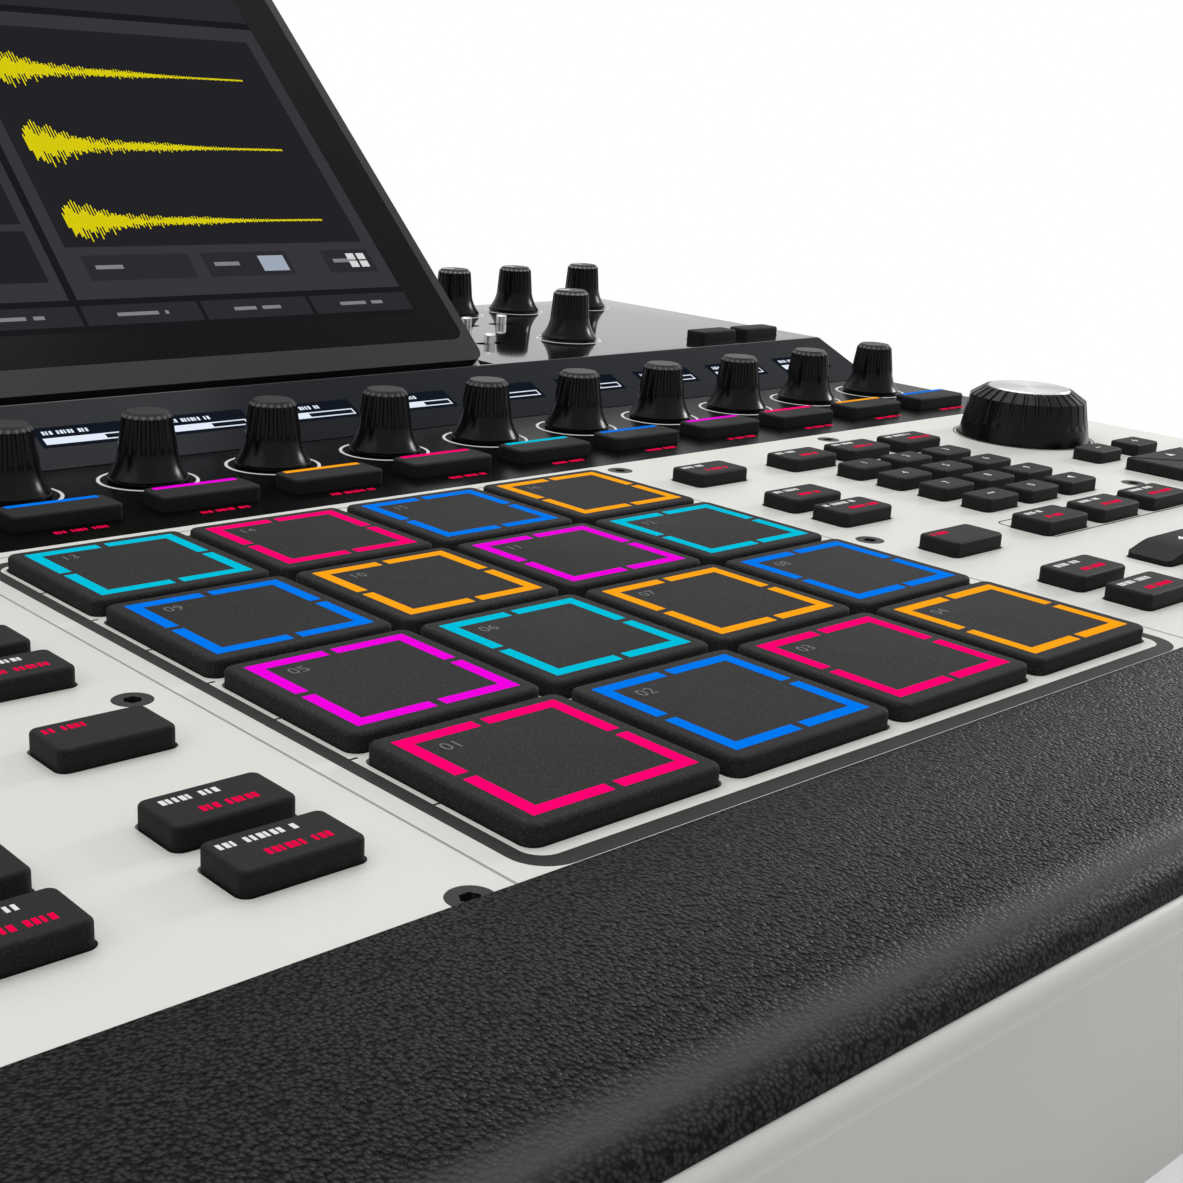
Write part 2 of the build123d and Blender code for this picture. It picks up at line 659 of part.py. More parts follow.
# Rear sockets: a body against the inside of the rear wall, with a bored barrel through it
with BuildPart() as rear_sockets:
    for x, bore in sockets:
        barrel = bore / 2 + SOCKET_WALL
        body = 2 * (barrel + SOCKET_WALL)
        with BuildSketch(rear_face.offset(-WALL)):
            with Locations((-x, jack_z)):
                Rectangle(body, body)
        extrude(amount=-SOCKET_BODY_DEPTH)
        with BuildSketch(rear_face.offset(-WALL)):
            with Locations((-x, jack_z)):
                Circle(barrel)
        extrude(amount=WALL + SOCKET_PROUD)
        with BuildSketch(rear_face.offset(SOCKET_PROUD)):
            with Locations((-x, jack_z)):
                Circle(bore / 2)
        extrude(amount=-(SOCKET_PROUD + WALL + SOCKET_BODY_DEPTH - SOCKET_BACK), mode=Mode.SUBTRACT)
save(rear_sockets, "rear_sockets")

# Hinge brackets: an ear on the well's floor at each side, with its pin through it
with BuildPart() as hinge_brackets:
    for side in (-1, 1):
        x = side * HINGE_SPACING / 2
        with BuildSketch(Plane.YZ.offset(x - HINGE_EAR_WIDTH / 2)):
            with Locations((at(d_hinge), (z_well + z_hinge) / 2)):
                Rectangle(2 * HINGE_EAR_RADIUS, z_hinge - z_well)
            with Locations((at(d_hinge), z_hinge)):
                Circle(HINGE_EAR_RADIUS)
        extrude(amount=HINGE_EAR_WIDTH)
        with BuildSketch(Plane.YZ.offset(x - HINGE_EAR_WIDTH / 2 - HINGE_PIN_REACH)):
            with Locations((at(d_hinge), z_hinge)):
                Circle(HINGE_PIN_DIAMETER / 2)
        extrude(amount=HINGE_EAR_WIDTH + 2 * HINGE_PIN_REACH)
save(hinge_brackets, "hinge_brackets")

# Screen: drawn on its own leaning plane, with its lower front edge at the sketch's y = 0
screen = Plane(
    origin=(0, at(d_screen), z_screen), x_dir=(1, 0, 0), z_dir=(0, -sin(lean), cos(lean))
)
glass_width = DISPLAY_WIDTH - 2 * BEZEL_SIDE
glass_height = DISPLAY_HEIGHT - BEZEL_BOTTOM - BEZEL_TOP
glass_centre = (0, BEZEL_BOTTOM + glass_height / 2)
hinge_block_height = HINGE_UP + HINGE_EAR_RADIUS + HINGE_BLOCK_ROOF
hinge_slot_height = HINGE_UP + HINGE_EAR_RADIUS + HINGE_SIDE_GAP
flare_angle = 90 - degrees(asin(SHELL_FLARE / DISPLAY_HEIGHT))

with BuildPart() as display_shell:
    with BuildSketch(screen.offset(-BEZEL)):
        with Locations((0, DISPLAY_HEIGHT / 2)):
            Trapezoid(
                DISPLAY_WIDTH + 2 * SHELL_FLARE,
                DISPLAY_HEIGHT,
                flare_angle,
                rotation=180,
            )
    extrude(amount=BEZEL - SHELL_THICKNESS)
    with BuildSketch(screen.offset(-BEZEL)):
        with Locations((0, DISPLAY_HEIGHT / 2)):
            RectangleRounded(
                DISPLAY_WIDTH - 2 * SHELL_WALL, DISPLAY_HEIGHT - 2 * SHELL_WALL, DISPLAY_CORNER
            )
    extrude(amount=BEZEL - SHELL_THICKNESS + SHELL_WALL, mode=Mode.SUBTRACT)
    with BuildSketch(screen.offset(-BEZEL)):
        with Locations((0, hinge_block_height / 2)):
            with GridLocations(HINGE_SPACING, 0, 2, 1):
                Rectangle(HINGE_BLOCK_WIDTH, hinge_block_height)
    extrude(amount=BEZEL - SHELL_THICKNESS)
    with BuildSketch(screen.offset(-BEZEL)):
        with Locations((0, hinge_slot_height / 2)):
            with GridLocations(HINGE_SPACING, 0, 2, 1):
                Rectangle(HINGE_EAR_WIDTH + 2 * HINGE_SIDE_GAP, hinge_slot_height)
    extrude(amount=BEZEL - SHELL_THICKNESS, mode=Mode.SUBTRACT)
    bore_reach = HINGE_EAR_WIDTH + 2 * (HINGE_PIN_REACH + HINGE_SIDE_GAP)
    for side in (-1, 1):
        with BuildSketch(Plane.YZ.offset(side * HINGE_SPACING / 2 - bore_reach / 2)):
            with Locations((at(d_hinge), z_hinge)):
                Circle(HINGE_PIN_DIAMETER / 2 + HINGE_CLEARANCE)
        extrude(amount=bore_reach, mode=Mode.SUBTRACT)
save(display_shell, "display_shell")

with BuildPart() as display_bezel:
    with BuildSketch(screen):
        with Locations((0, DISPLAY_HEIGHT / 2)):
            RectangleRounded(DISPLAY_WIDTH, DISPLAY_HEIGHT, DISPLAY_CORNER)
    extrude(amount=-BEZEL)
    with BuildSketch(screen):
        with Locations(glass_centre):
            RectangleRounded(glass_width, glass_height, DISPLAY_CORNER)
    extrude(amount=-GLASS, mode=Mode.SUBTRACT)
    with BuildSketch(screen):
        with Locations(glass_centre):
            Rectangle(glass_width - 2 * GLASS_LEDGE, glass_height - 2 * GLASS_LEDGE)
    extrude(amount=-BEZEL, mode=Mode.SUBTRACT)
save(display_bezel, "display_bezel")

with BuildPart() as display_glass:
    with BuildSketch(screen):
        with Locations(glass_centre):
            RectangleRounded(
                glass_width - 2 * GLASS_CLEARANCE, glass_height - 2 * GLASS_CLEARANCE, DISPLAY_CORNER
            )
    extrude(amount=-GLASS)
    with BuildSketch(screen.offset(-GLASS)):
        with Locations(glass_centre):
            Rectangle(glass_width - 2 * LCD_MARGIN, glass_height - 2 * LCD_MARGIN)
    extrude(amount=-LCD_THICKNESS)
save(display_glass, "display_glass")

# Pads: a soft-edged cap, a lip that keeps it under the panel and a core above the board
flange_top = KEY_FLANGE_GAP + PLATE
flange_bottom = flange_top + KEY_FLANGE
pad_bottom = BOARD_DROP - PAD_TRAVEL - KEY_REST_GAP
for number, place in enumerate(pad_places(), start=1):
    with BuildPart() as pad:
        with BuildSketch(Plane.XY.offset(z_panel + PAD_RISE)):
            rectangles([place], PAD_SIZE, PAD_SIZE, PAD_CORNER)
        extrude(amount=-(PAD_RISE + flange_top))
        fillet(pad.edges().group_by(Axis.Z)[-1], PAD_EDGE)
        with BuildSketch(Plane.XY.offset(z_panel - flange_top)):
            rectangles([place], PAD_SIZE + 2 * PAD_LIP, PAD_SIZE + 2 * PAD_LIP, PAD_CORNER)
        extrude(amount=-KEY_FLANGE)
        with BuildSketch(Plane.XY.offset(z_panel - flange_bottom)):
            rectangles([place], PAD_CORE, PAD_CORE, PAD_CORNER)
        extrude(amount=flange_bottom - pad_bottom)
    save(pad, f"pad_{number:02d}")


def key_set(places, width, depth, z_plate):
    """Keys of one size in one plate: softened caps, retaining flanges and plungers."""
    with BuildPart() as keys:
        with BuildSketch(Plane.XY.offset(z_plate + KEY_RISE)):
            rectangles(places, width, depth, KEY_CORNER)
        extrude(amount=-(KEY_RISE + flange_top))
        fillet(keys.edges().group_by(Axis.Z)[-1], KEY_EDGE)
        with BuildSketch(Plane.XY.offset(z_plate - flange_top)):
            rectangles(places, width + 2 * KEY_LIP, depth + 2 * KEY_LIP, KEY_CORNER)
        extrude(amount=-KEY_FLANGE)
        with BuildSketch(Plane.XY.offset(z_plate - flange_bottom)):
            rectangles(places, PLUNGER, PLUNGER, KEY_CORNER)
        extrude(amount=flange_bottom - (BOARD_DROP - KEY_TRAVEL - KEY_REST_GAP))
    return keys.part


with BuildPart() as strip_keys:
    add(key_set(strip_key_places, STRIP_KEY_WIDTH, STRIP_KEY_DEPTH, z_panel))
save(strip_keys, "strip_keys")

with BuildPart() as number_keys:
    add(key_set(number_places, NUMBER_WIDTH, NUMBER_DEPTH, z_panel))
save(number_keys, "number_keys")

with BuildPart() as left_keys:
    add(key_set(left_places, KEY_WIDTH, KEY_DEPTH, z_panel))
save(left_keys, "left_keys")

# Right keys, with the ramped arrow keys, the creased cursor key and the deck's two keys
with BuildPart() as right_keys:
    add(key_set(right_places, KEY_WIDTH, KEY_DEPTH, z_panel))
    add(key_set(small_places, SMALL_KEY_WIDTH, SMALL_KEY_DEPTH, z_panel))
    add(key_set(arrow_places, ARROW_WIDTH, KEY_DEPTH, z_panel))
    add(key_set([cursor_place], CURSOR_SIZE, CURSOR_SIZE, z_panel))
    add(key_set(deck_key_places, DECK_KEY_WIDTH, DECK_KEY_DEPTH, z_deck))
    for side, (x, y) in zip((-1, 1), arrow_places):
        tip = x + side * ARROW_WIDTH / 2
        with BuildSketch(Plane.XZ.offset(-y - KEY_DEPTH / 2)):
            with BuildLine():
                Polyline(
                    (tip, z_panel + ARROW_LOW),
                    (tip, z_panel + KEY_RISE),
                    (tip - side * ARROW_RAMP, z_panel + KEY_RISE),
                    close=True,
                )
            make_face()
        extrude(amount=KEY_DEPTH, mode=Mode.SUBTRACT)
    for turn in (45, -45):
        groove_line = Plane(origin=(*cursor_place, z_panel + KEY_RISE)).rotated((0, 0, turn))
        with BuildSketch(groove_line):
            Rectangle(CURSOR_SIZE * 2, CURSOR_GROOVE)
        extrude(amount=-CURSOR_GROOVE, mode=Mode.SUBTRACT)
save(right_keys, "right_keys")

# Slide switches: a bright pin through its slot, on a slider held under the deck
with BuildPart() as slide_switches:
    slider_length = SWITCH_PIN + 2 * SWITCH_THROW + 2 * KEY_LIP
    slider_depth = SWITCH_PIN + 2 * SWITCH_CLEARANCE + 2 * KEY_LIP
    with BuildSketch(Plane.XY.offset(z_deck - flange_bottom)):
        with Locations(*switch_places):
            Rectangle(slider_length, slider_depth)
    extrude(amount=KEY_FLANGE)
    with BuildSketch(Plane.XY.offset(z_deck - flange_top)):
        with Locations(*switch_places):
            Circle(SWITCH_PIN / 2)
    extrude(amount=flange_top + SWITCH_RISE)
    chamfer(slide_switches.edges().group_by(Axis.Z)[-1], KNOB_FLOAT)
save(slide_switches, "slide_switches")


def fluted_knob(skirt, neck, top, height):
    """A flared knob on its own axis above z = 0, fluted down its sides, with its shaft."""
    neck_z = height / 2
    shoulder_z = height - KNOB_BEVEL
    middle = (neck / 2 + (skirt - neck) / 8, (KNOB_SKIRT_LIP + neck_z) / 2)
    recess = BUSHING_DIAMETER / 2 + KNOB_FLOAT
    recess_top = BUSHING_RISE + KNOB_FLOAT
    with BuildPart() as flute:
        foot = (neck / 2 + 0.75 * KNOB_FLUTE_RADIUS, neck_z - KNOB_FLUTE_FOOT)
        run = Plane(
            origin=(foot[0], 0, foot[1]),
            x_dir=(0, 1, 0),
            z_dir=(top / 2 - foot[0], 0, shoulder_z - foot[1]),
        )
        with BuildSketch(run):
            Circle(KNOB_FLUTE_RADIUS)
        extrude(amount=height)
    with BuildPart() as knob:
        with BuildSketch(Plane.XZ):
            with BuildLine():
                Polyline(
                    (0, -stem_drop),
                    (SHAFT_DIAMETER / 2, -stem_drop),
                    (SHAFT_DIAMETER / 2, recess_top),
                    (recess, recess_top),
                    (recess, KNOB_FLOAT),
                    (skirt / 2, KNOB_FLOAT),
                    (skirt / 2, KNOB_SKIRT_LIP),
                )
                ThreePointArc((skirt / 2, KNOB_SKIRT_LIP), middle, (neck / 2, neck_z))
                Polyline(
                    (neck / 2, neck_z),
                    (top / 2, shoulder_z),
                    (top / 2 - KNOB_BEVEL, height),
                    (0, height),
                    (0, -stem_drop),
                )
            make_face()
        revolve(axis=Axis.Z)
        with PolarLocations(0, KNOB_FLUTES, start_angle=180 / KNOB_FLUTES):
            add(flute.part, mode=Mode.SUBTRACT)
    return knob.part


encoder_form = fluted_knob(KNOB_SKIRT, KNOB_NECK, KNOB_TOP, KNOB_HEIGHT)
for number, (x, y) in enumerate(knob_places, start=1):
    with BuildPart() as encoder_knob:
        with Locations((x, y, z_panel)):
            add(encoder_form)
    save(encoder_knob, f"encoder_knob_{number:02d}")

deck_form = fluted_knob(DECK_KNOB_SKIRT, DECK_KNOB_NECK, DECK_KNOB_TOP, DECK_KNOB_HEIGHT)
for number, (x, y) in enumerate(deck_knob_places, start=1):
    with BuildPart() as deck_knob:
        with Locations((x, y, z_deck)):
            add(deck_form)
    save(deck_knob, f"deck_knob_{number}")

# Data dial: a broad tapered drum with a bevelled shoulder and a turned metal cap let into its top.
# Its flutes run from the cap over the bevel and fade out down the side.
dial_shoulder = DIAL_HEIGHT - DIAL_BEVEL
cap_floor = DIAL_HEIGHT + DIAL_CAP_PROUD - DIAL_CAP_THICKNESS
dial_lean = (DIAL_DIAMETER - DIAL_TOP_DIAMETER) / 2
foot_radius = DIAL_DIAMETER / 2 - dial_lean * DIAL_FLUTE_FOOT / dial_shoulder + DIAL_FLUTE_RADIUS
with BuildPart() as dial_flute:
    side_run = Plane(
        origin=(foot_radius, 0, DIAL_FLUTE_FOOT),
        x_dir=(0, 1, 0),
        z_dir=(DIAL_TOP_DIAMETER / 2 - foot_radius, 0, dial_shoulder - DIAL_FLUTE_FOOT),
    )
    bevel_run = Plane(
        origin=(DIAL_TOP_DIAMETER / 2, 0, dial_shoulder),
        x_dir=(0, 1, 0),
        z_dir=((DIAL_FACE_DIAMETER - DIAL_TOP_DIAMETER) / 2, 0, DIAL_BEVEL),
    )
    for flute_run in (side_run, bevel_run):
        with BuildSketch(flute_run):
            Circle(DIAL_FLUTE_RADIUS)
        extrude(amount=dial_shoulder - DIAL_FLUTE_FOOT)
with BuildPart() as dial_form:
    with BuildSketch(Plane.XZ):
        with BuildLine():
            Polyline(
                (0, -stem_drop),
                (SHAFT_DIAMETER / 2, -stem_drop),
                (SHAFT_DIAMETER / 2, BUSHING_RISE + KNOB_FLOAT),
                (BUSHING_DIAMETER / 2 + KNOB_FLOAT, BUSHING_RISE + KNOB_FLOAT),
                (BUSHING_DIAMETER / 2 + KNOB_FLOAT, KNOB_FLOAT),
                (DIAL_DIAMETER / 2, KNOB_FLOAT),
                (DIAL_TOP_DIAMETER / 2, dial_shoulder),
                (DIAL_FACE_DIAMETER / 2, DIAL_HEIGHT),
                (DIAL_CAP_DIAMETER / 2 + GLASS_CLEARANCE, DIAL_HEIGHT),
                (DIAL_CAP_DIAMETER / 2 + GLASS_CLEARANCE, cap_floor),
                (0, cap_floor),
                close=True,
            )
        make_face()
    revolve(axis=Axis.Z)
    with PolarLocations(0, DIAL_FLUTES, start_angle=180 / DIAL_FLUTES):
        add(dial_flute.part, mode=Mode.SUBTRACT)
with BuildPart() as data_dial:
    with Locations((*dial_place, z_panel)):
        add(dial_form.part)
save(data_dial, "data_dial")

with BuildPart() as dial_cap:
    with BuildSketch(Plane.XY.offset(z_panel + cap_floor)):
        with Locations(dial_place):
            Circle(DIAL_CAP_DIAMETER / 2)
    extrude(amount=DIAL_CAP_THICKNESS)
    chamfer(dial_cap.edges().group_by(Axis.Z)[-1], DIAL_CAP_PROUD)
save(dial_cap, "dial_cap")

print("half width", half_width, "overall depth", overall_depth, "rear wall y", at(d_rear))
print("display hinge y z", at(d_hinge), z_hinge, "sockets z", jack_z)
print("feet", foot_x, foot_middle, foot_y, "well", well_front, well_rear, z_well)
print("dial", dial_place, "pads y", at(d_pads), "knobs y", knob_places[0][1])
print("deck knobs", deck_knob_places)
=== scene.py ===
import math

import bpy
import numpy as np
from bpy.props import FloatProperty, FloatVectorProperty, PointerProperty
from mathutils import Matrix, Vector


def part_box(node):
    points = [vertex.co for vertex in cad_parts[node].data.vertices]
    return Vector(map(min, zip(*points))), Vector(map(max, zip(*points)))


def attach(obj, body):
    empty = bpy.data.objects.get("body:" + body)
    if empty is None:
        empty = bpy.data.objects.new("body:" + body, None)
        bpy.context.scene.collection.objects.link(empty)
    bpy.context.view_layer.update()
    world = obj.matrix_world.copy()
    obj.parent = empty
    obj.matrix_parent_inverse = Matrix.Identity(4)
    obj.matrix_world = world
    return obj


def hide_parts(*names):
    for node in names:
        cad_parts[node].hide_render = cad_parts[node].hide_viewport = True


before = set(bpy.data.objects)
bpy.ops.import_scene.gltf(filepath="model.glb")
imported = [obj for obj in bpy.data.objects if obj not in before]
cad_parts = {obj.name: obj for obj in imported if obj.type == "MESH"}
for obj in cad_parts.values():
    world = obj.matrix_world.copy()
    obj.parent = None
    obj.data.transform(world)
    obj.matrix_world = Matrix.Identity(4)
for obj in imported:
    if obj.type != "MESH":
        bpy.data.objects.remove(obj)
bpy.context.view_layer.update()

bl_info = {
    "name": "Music workstation finish",
    "version": (1, 0, 0),
    "blender": (4, 5, 0),
    "location": "View3D > Sidebar > Workstation",
    "description": "Dresses the music workstation with its finishes, lights and printed marks",
    "category": "Object",
}

MM = 0.001
PADS = ["pad_%02d" % number for number in range(1, 17)]
KNOBS = ["encoder_knob_%02d" % number for number in range(1, 17)]
DECK_KNOBS = ["deck_knob_%d" % number for number in range(1, 5)]
KEY_BANKS = ["strip_keys", "number_keys", "left_keys", "right_keys"]
PAD_COLOURS = "pink blue pink amber magenta cyan amber blue blue amber magenta cyan cyan pink blue amber"
BAR_COLOURS = "cyan amber blue blue magenta amber blue magenta amber pink cyan blue magenta pink amber blue"


def middle(node):
    """The centre of a node's box."""
    low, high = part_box(node)
    return (np.array(low) + np.array(high)) / 2


PANEL_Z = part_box("main_panel")[1].z
DECK_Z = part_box("rear_deck")[1].z
PAD_CENTRE = np.mean([middle(name) for name in PADS], axis=0)
PAD_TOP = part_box("pad_01")[1].z
KEY_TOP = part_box("number_keys")[1].z
SLOPE_LOW, SLOPE_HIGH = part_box("display_strip")


def length(name, description, millimetres):
    """A length property whose default is given in millimetres."""
    return FloatProperty(name=name, description=description, default=millimetres * MM,
                         unit="LENGTH", precision=5)


def colour(name, description, code):
    """A colour property whose default is an sRGB code."""
    return FloatVectorProperty(name=name, description=description, subtype="COLOR", size=3, min=0, max=1,
                               default=linear(code))


def linear(code):
    """The linear red, green and blue of an sRGB code such as 'DADBD5'."""
    parts = np.array([int(code[i:i + 2], 16) / 255 for i in (0, 2, 4)])
    return tuple(np.where(parts <= 0.04045, parts / 12.92, ((parts + 0.055) / 1.055) ** 2.4))


class WorkstationSizes(bpy.types.PropertyGroup):
    """Lengths of the printed and lit marks."""
    inlay: length("Inlay", "Height of a lit or printed mark above its surface", 0.06)
    border_half: length("Pad border", "Half the outer size of a pad's lit border", 15.1)
    border_width: length("Border width", "Width of a pad's lit border", 2.25)
    border_break: length("Border break", "Gap at the middle of each side of the border", 1.7)
    band_half: length("Pad field band", "Half the outer width of the dark band round the pads", 78.6)
    band_width: length("Band width", "Width of the dark band round the pads", 2.4)
    band_corner: length("Band corner", "Outer corner radius of the dark band", 6.0)
    knob_ring: length("Knob ring", "Outer diameter of the white ring round a knob", 23.2)
    ring_width: length("Ring width", "Width of a printed ring", 0.8)
    bar_length: length("Bar length", "Length of the lit bar on a strip key", 20.5)
    bar_width: length("Bar width", "Width of the lit bar on a strip key", 1.7)
    window_width: length("Window width", "Width of one lit window of the display strip", 24.4)
    window_height: length("Window height", "Height of one lit window of the display strip", 8.3)
    window_rise: length("Window rise", "Distance of a window's middle up the slope", 12.7)
    line: length("Line", "Width of a fine printed line", 0.35)
    rail_half: length("Rails", "Half the width between the fine rails beside the pads", 82.3)
    tick_half: length("Ticks", "Distance of the short ticks from the pads' middle", 75.6)
    tick_pitch: length("Tick pitch", "Distance from tick to tick", 19.0)
    dial_ring: length("Dial ring", "Radius of the fine ring round the dial", 20.6)
    # Painted shadow: a dark ring printed on the panel where the gap round the dial lies in shade.
    dial_shadow: length("Dial gap", "Outer radius of the dark gap round the dial", 19.8)
    dial_shadow_width: length("Dial gap width", "Width of the dark gap round the dial", 1.4)
    stroke: length("Stroke height", "Height of a row of marks on a key or a display", 1.5)
    numeral: length("Numeral", "Size of a key's numeral", 3.2)
    pad_numeral: length("Pad numeral", "Size of a pad's numeral", 3.6)


class WorkstationColours(bpy.types.PropertyGroup):
    """Colours of the finishes, the lights and the marks."""
    panel: colour("Panel", "Playing panel paint", "EAEAE4")
    case: colour("Case", "Lower case and screen shell", "DEDEDA")
    pad: colour("Pad", "Pad silicone", "202020")
    key: colour("Key", "Key caps", "181818")
    knob: colour("Knob", "Knobs and dial", "09090B")
    strip: colour("Strip", "Knob strip", "050506")
    lens: colour("Lens", "Sloped lens", "11141B")
    deck: colour("Deck", "Rear deck", "101011")
    rest: colour("Rest", "Front rest cover", "09090A")
    bezel: colour("Bezel", "Screen frame", "2B2B2D")
    print_dark: colour("Dark print", "Bands and lines on the panel", "232322")
    legend_white: colour("White legend", "White marks", "F4F4F2")
    # The red legends are print, but made to glow: a painted glow.
    glowing_red_legend: colour("Red legend", "Red marks", "FA064C")
    pink: colour("Pink light", "Lit border", "FF0072")
    blue: colour("Blue light", "Lit border", "0078F0")
    amber: colour("Amber light", "Lit border", "FFA61A")
    magenta: colour("Magenta light", "Lit border", "F000E0")
    cyan: colour("Cyan light", "Lit border", "00C0DC")


class Value:
    """A node's output that takes part in arithmetic: each operation adds one Math node."""

    def __init__(self, finish, socket):
        self.finish = finish
        self.socket = socket

    def math(self, operation, first, second=0.0):
        return self.finish.node("ShaderNodeMath", {"operation": operation}, {0: first, 1: second})

    def __add__(self, other):
        return self.math("ADD", self, other)

    def __radd__(self, other):
        return self.math("ADD", other, self)

    def __sub__(self, other):
        return self.math("SUBTRACT", self, other)

    def __rsub__(self, other):
        return self.math("SUBTRACT", other, self)

    def __mul__(self, other):
        return self.math("MULTIPLY", self, other)

    def __rmul__(self, other):
        return self.math("MULTIPLY", other, self)

    def __gt__(self, other):
        return self.math("GREATER_THAN", self, other)


class Nodes:
    """A node tree under construction."""

    def __init__(self, tree):
        self.tree = tree

    def node(self, kind, settings, values, output=0):
        """Add a node, set its settings, then its sockets' values or links, and return one output."""
        made = self.tree.nodes.new(kind)
        for key, setting in settings.items():
            setattr(made, key, setting)
        for key, value in values.items():
            self.feed(made.inputs[key], value)
        return Value(self, made.outputs[output]) if made.outputs else None

    def feed(self, socket, value):
        """Link a value to a socket, or set the socket's own value."""
        if isinstance(value, Value):
            self.tree.links.new(value.socket, socket)
        elif socket.type == "RGBA":
            socket.default_value = (*value, 1)
        else:
            socket.default_value = value

    def shown(self):
        """One for rays from the camera, also by gloss or glass, and nought for rays that light the object."""
        rays = [self.node("ShaderNodeLightPath", {}, {}, name)
                for name in ("Is Camera Ray", "Is Glossy Ray", "Is Transmission Ray")]
        return rays[0].math("MAXIMUM", rays[0].math("MAXIMUM", rays[0], rays[1]), rays[2])


class Finish(Nodes):
    """A procedural material under construction."""

    def __init__(self, name):
        self.material = bpy.data.materials.new(name)
        self.material.use_nodes = True
        super().__init__(self.material.node_tree)
        self.shader = self.tree.nodes["Principled BSDF"]
        self.place = self.node("ShaderNodeTexCoord", {}, {}, "Object")

    def noise(self, grain, detail=2.0, stretch=(1, 1, 1)):
        """Noise whose lumps are about grain metres across, longer along a stretched axis."""
        place = self.node("ShaderNodeMapping", {}, {"Vector": self.place, "Scale": stretch})
        return self.node("ShaderNodeTexNoise", {}, {"Vector": place, "Scale": 1 / grain, "Detail": detail})

    def coordinate(self, axis):
        """The object's own X, Y or Z, numbered from nought."""
        return self.node("ShaderNodeSeparateXYZ", {}, {0: self.place}, axis)

    def ramp(self, value, start, end, first, last):
        """A smooth change from first to last while the value goes from start to end."""
        return self.node("ShaderNodeMapRange", {"interpolation_type": "SMOOTHSTEP"},
                         {"Value": value, "From Min": start, "From Max": end, "To Min": first, "To Max": last})

    def mix(self, factor, first, second):
        """Blend two colours by a factor."""
        return self.node("ShaderNodeMix", {"data_type": "RGBA"}, {0: factor, 6: first, 7: second}, 2)

    def relief(self, height, depth, strength=1.0):
        """Feed the shader's normal with a bump of this depth in metres."""
        bump = self.node("ShaderNodeBump", {}, {"Height": height, "Distance": depth, "Strength": strength})
        self.set(Normal=bump)

    def set(self, **values):
        """Set or link the shader's sockets, named with underscores for spaces."""
        for key, value in values.items():
            self.feed(self.shader.inputs[key.replace("_", " ")], value)


def shade(base, amount):
    """A colour moved towards white, or towards black when the amount is negative."""
    target = 1.0 if amount > 0 else 0.0
    return tuple(c + (target - c) * abs(amount) for c in base)


def moulded(name, base, grain, fleck, roughness, depth, **fixed):
    """A moulded or painted surface: fine flecks, broad tone changes and a fine-grained relief."""
    finish = Finish(name)
    fine = finish.noise(grain * MM, 3.0)
    broad = finish.noise(40 * MM, 2.0)
    flecked = finish.mix((fine - 0.52) * 5.0, base, shade(base, fleck))
    finish.set(Base_Color=finish.mix(broad * 0.5, flecked, shade(base, -0.18)),
               Roughness=roughness + (broad - 0.5) * 0.16 + (fine - 0.5) * 0.1, **fixed)
    finish.relief(fine, depth * MM, 0.6)
    return finish.material


def knob_finish(name, base, top_z, rim_highlight_lightness):
    """Satin black with fine draw marks up the sides, a paler crown above top_z and a painted highlight round
    its edge.
    """
    finish = Finish(name)
    drawn = finish.noise(0.5 * MM, 2.0, (1, 1, 0.08))
    broad = finish.noise(9 * MM)
    height = finish.coordinate(2)
    crown = height > top_z
    # Painted highlight: a band just above top_z, at the crown's edge, is painted paler in the base colour.
    painted_rim_highlight = crown - (height > top_z + 0.7 * MM)
    faced = finish.mix(crown * (0.3 + broad * 0.4), base, shade(base, 0.06))
    finish.set(Base_Color=finish.mix(painted_rim_highlight * (0.2 + broad * 0.7), faced, shade(base, rim_highlight_lightness)),
               Roughness=0.16 + drawn * 0.14 + crown * 0.2, Specular_IOR_Level=0.12)
    finish.relief(drawn, 0.03 * MM, 0.4)
    return finish.material


def pebbled(name, base, ridge):
    """Grained cover: pebbles with painted glints on their tops and painted shade in their creases, a painted
    highlight along a ridge, flatter before it.
    """
    finish = Finish(name)
    cells = finish.node("ShaderNodeTexVoronoi", {"feature": "F1"},
                        {"Vector": finish.place, "Scale": 1 / (0.6 * MM)})
    pebble = (1 - cells * 1.1) * 0.75 + finish.noise(0.5 * MM, 2.0) * 0.35 + finish.noise(5 * MM) * 0.1
    depth = finish.coordinate(1) - ridge
    # Painted highlight: a paler band along the ridge, mixed into the base colour.
    painted_ridge_highlight = finish.ramp(depth.math("ABSOLUTE", depth), 0.0, 5 * MM, 1.0, 0.0)
    nose = finish.ramp(depth, -2 * MM, 6 * MM, 1.0, 0.0)
    # Painted light: the pebbles' tops are painted paler as glints and their creases darker as shade.
    painted_pebble_light = finish.mix((pebble - 0.4) * 2.2, shade(base, -0.9), shade(base, 0.035))
    finish.set(Base_Color=finish.mix(painted_ridge_highlight * 0.7, painted_pebble_light, shade(base, 0.08)),
               Roughness=0.44 - pebble * 0.16 + nose * 0.12, Specular_IOR_Level=0.07)
    finish.relief(pebble * (1 - nose * 0.8), 0.45 * MM)
    return finish.material


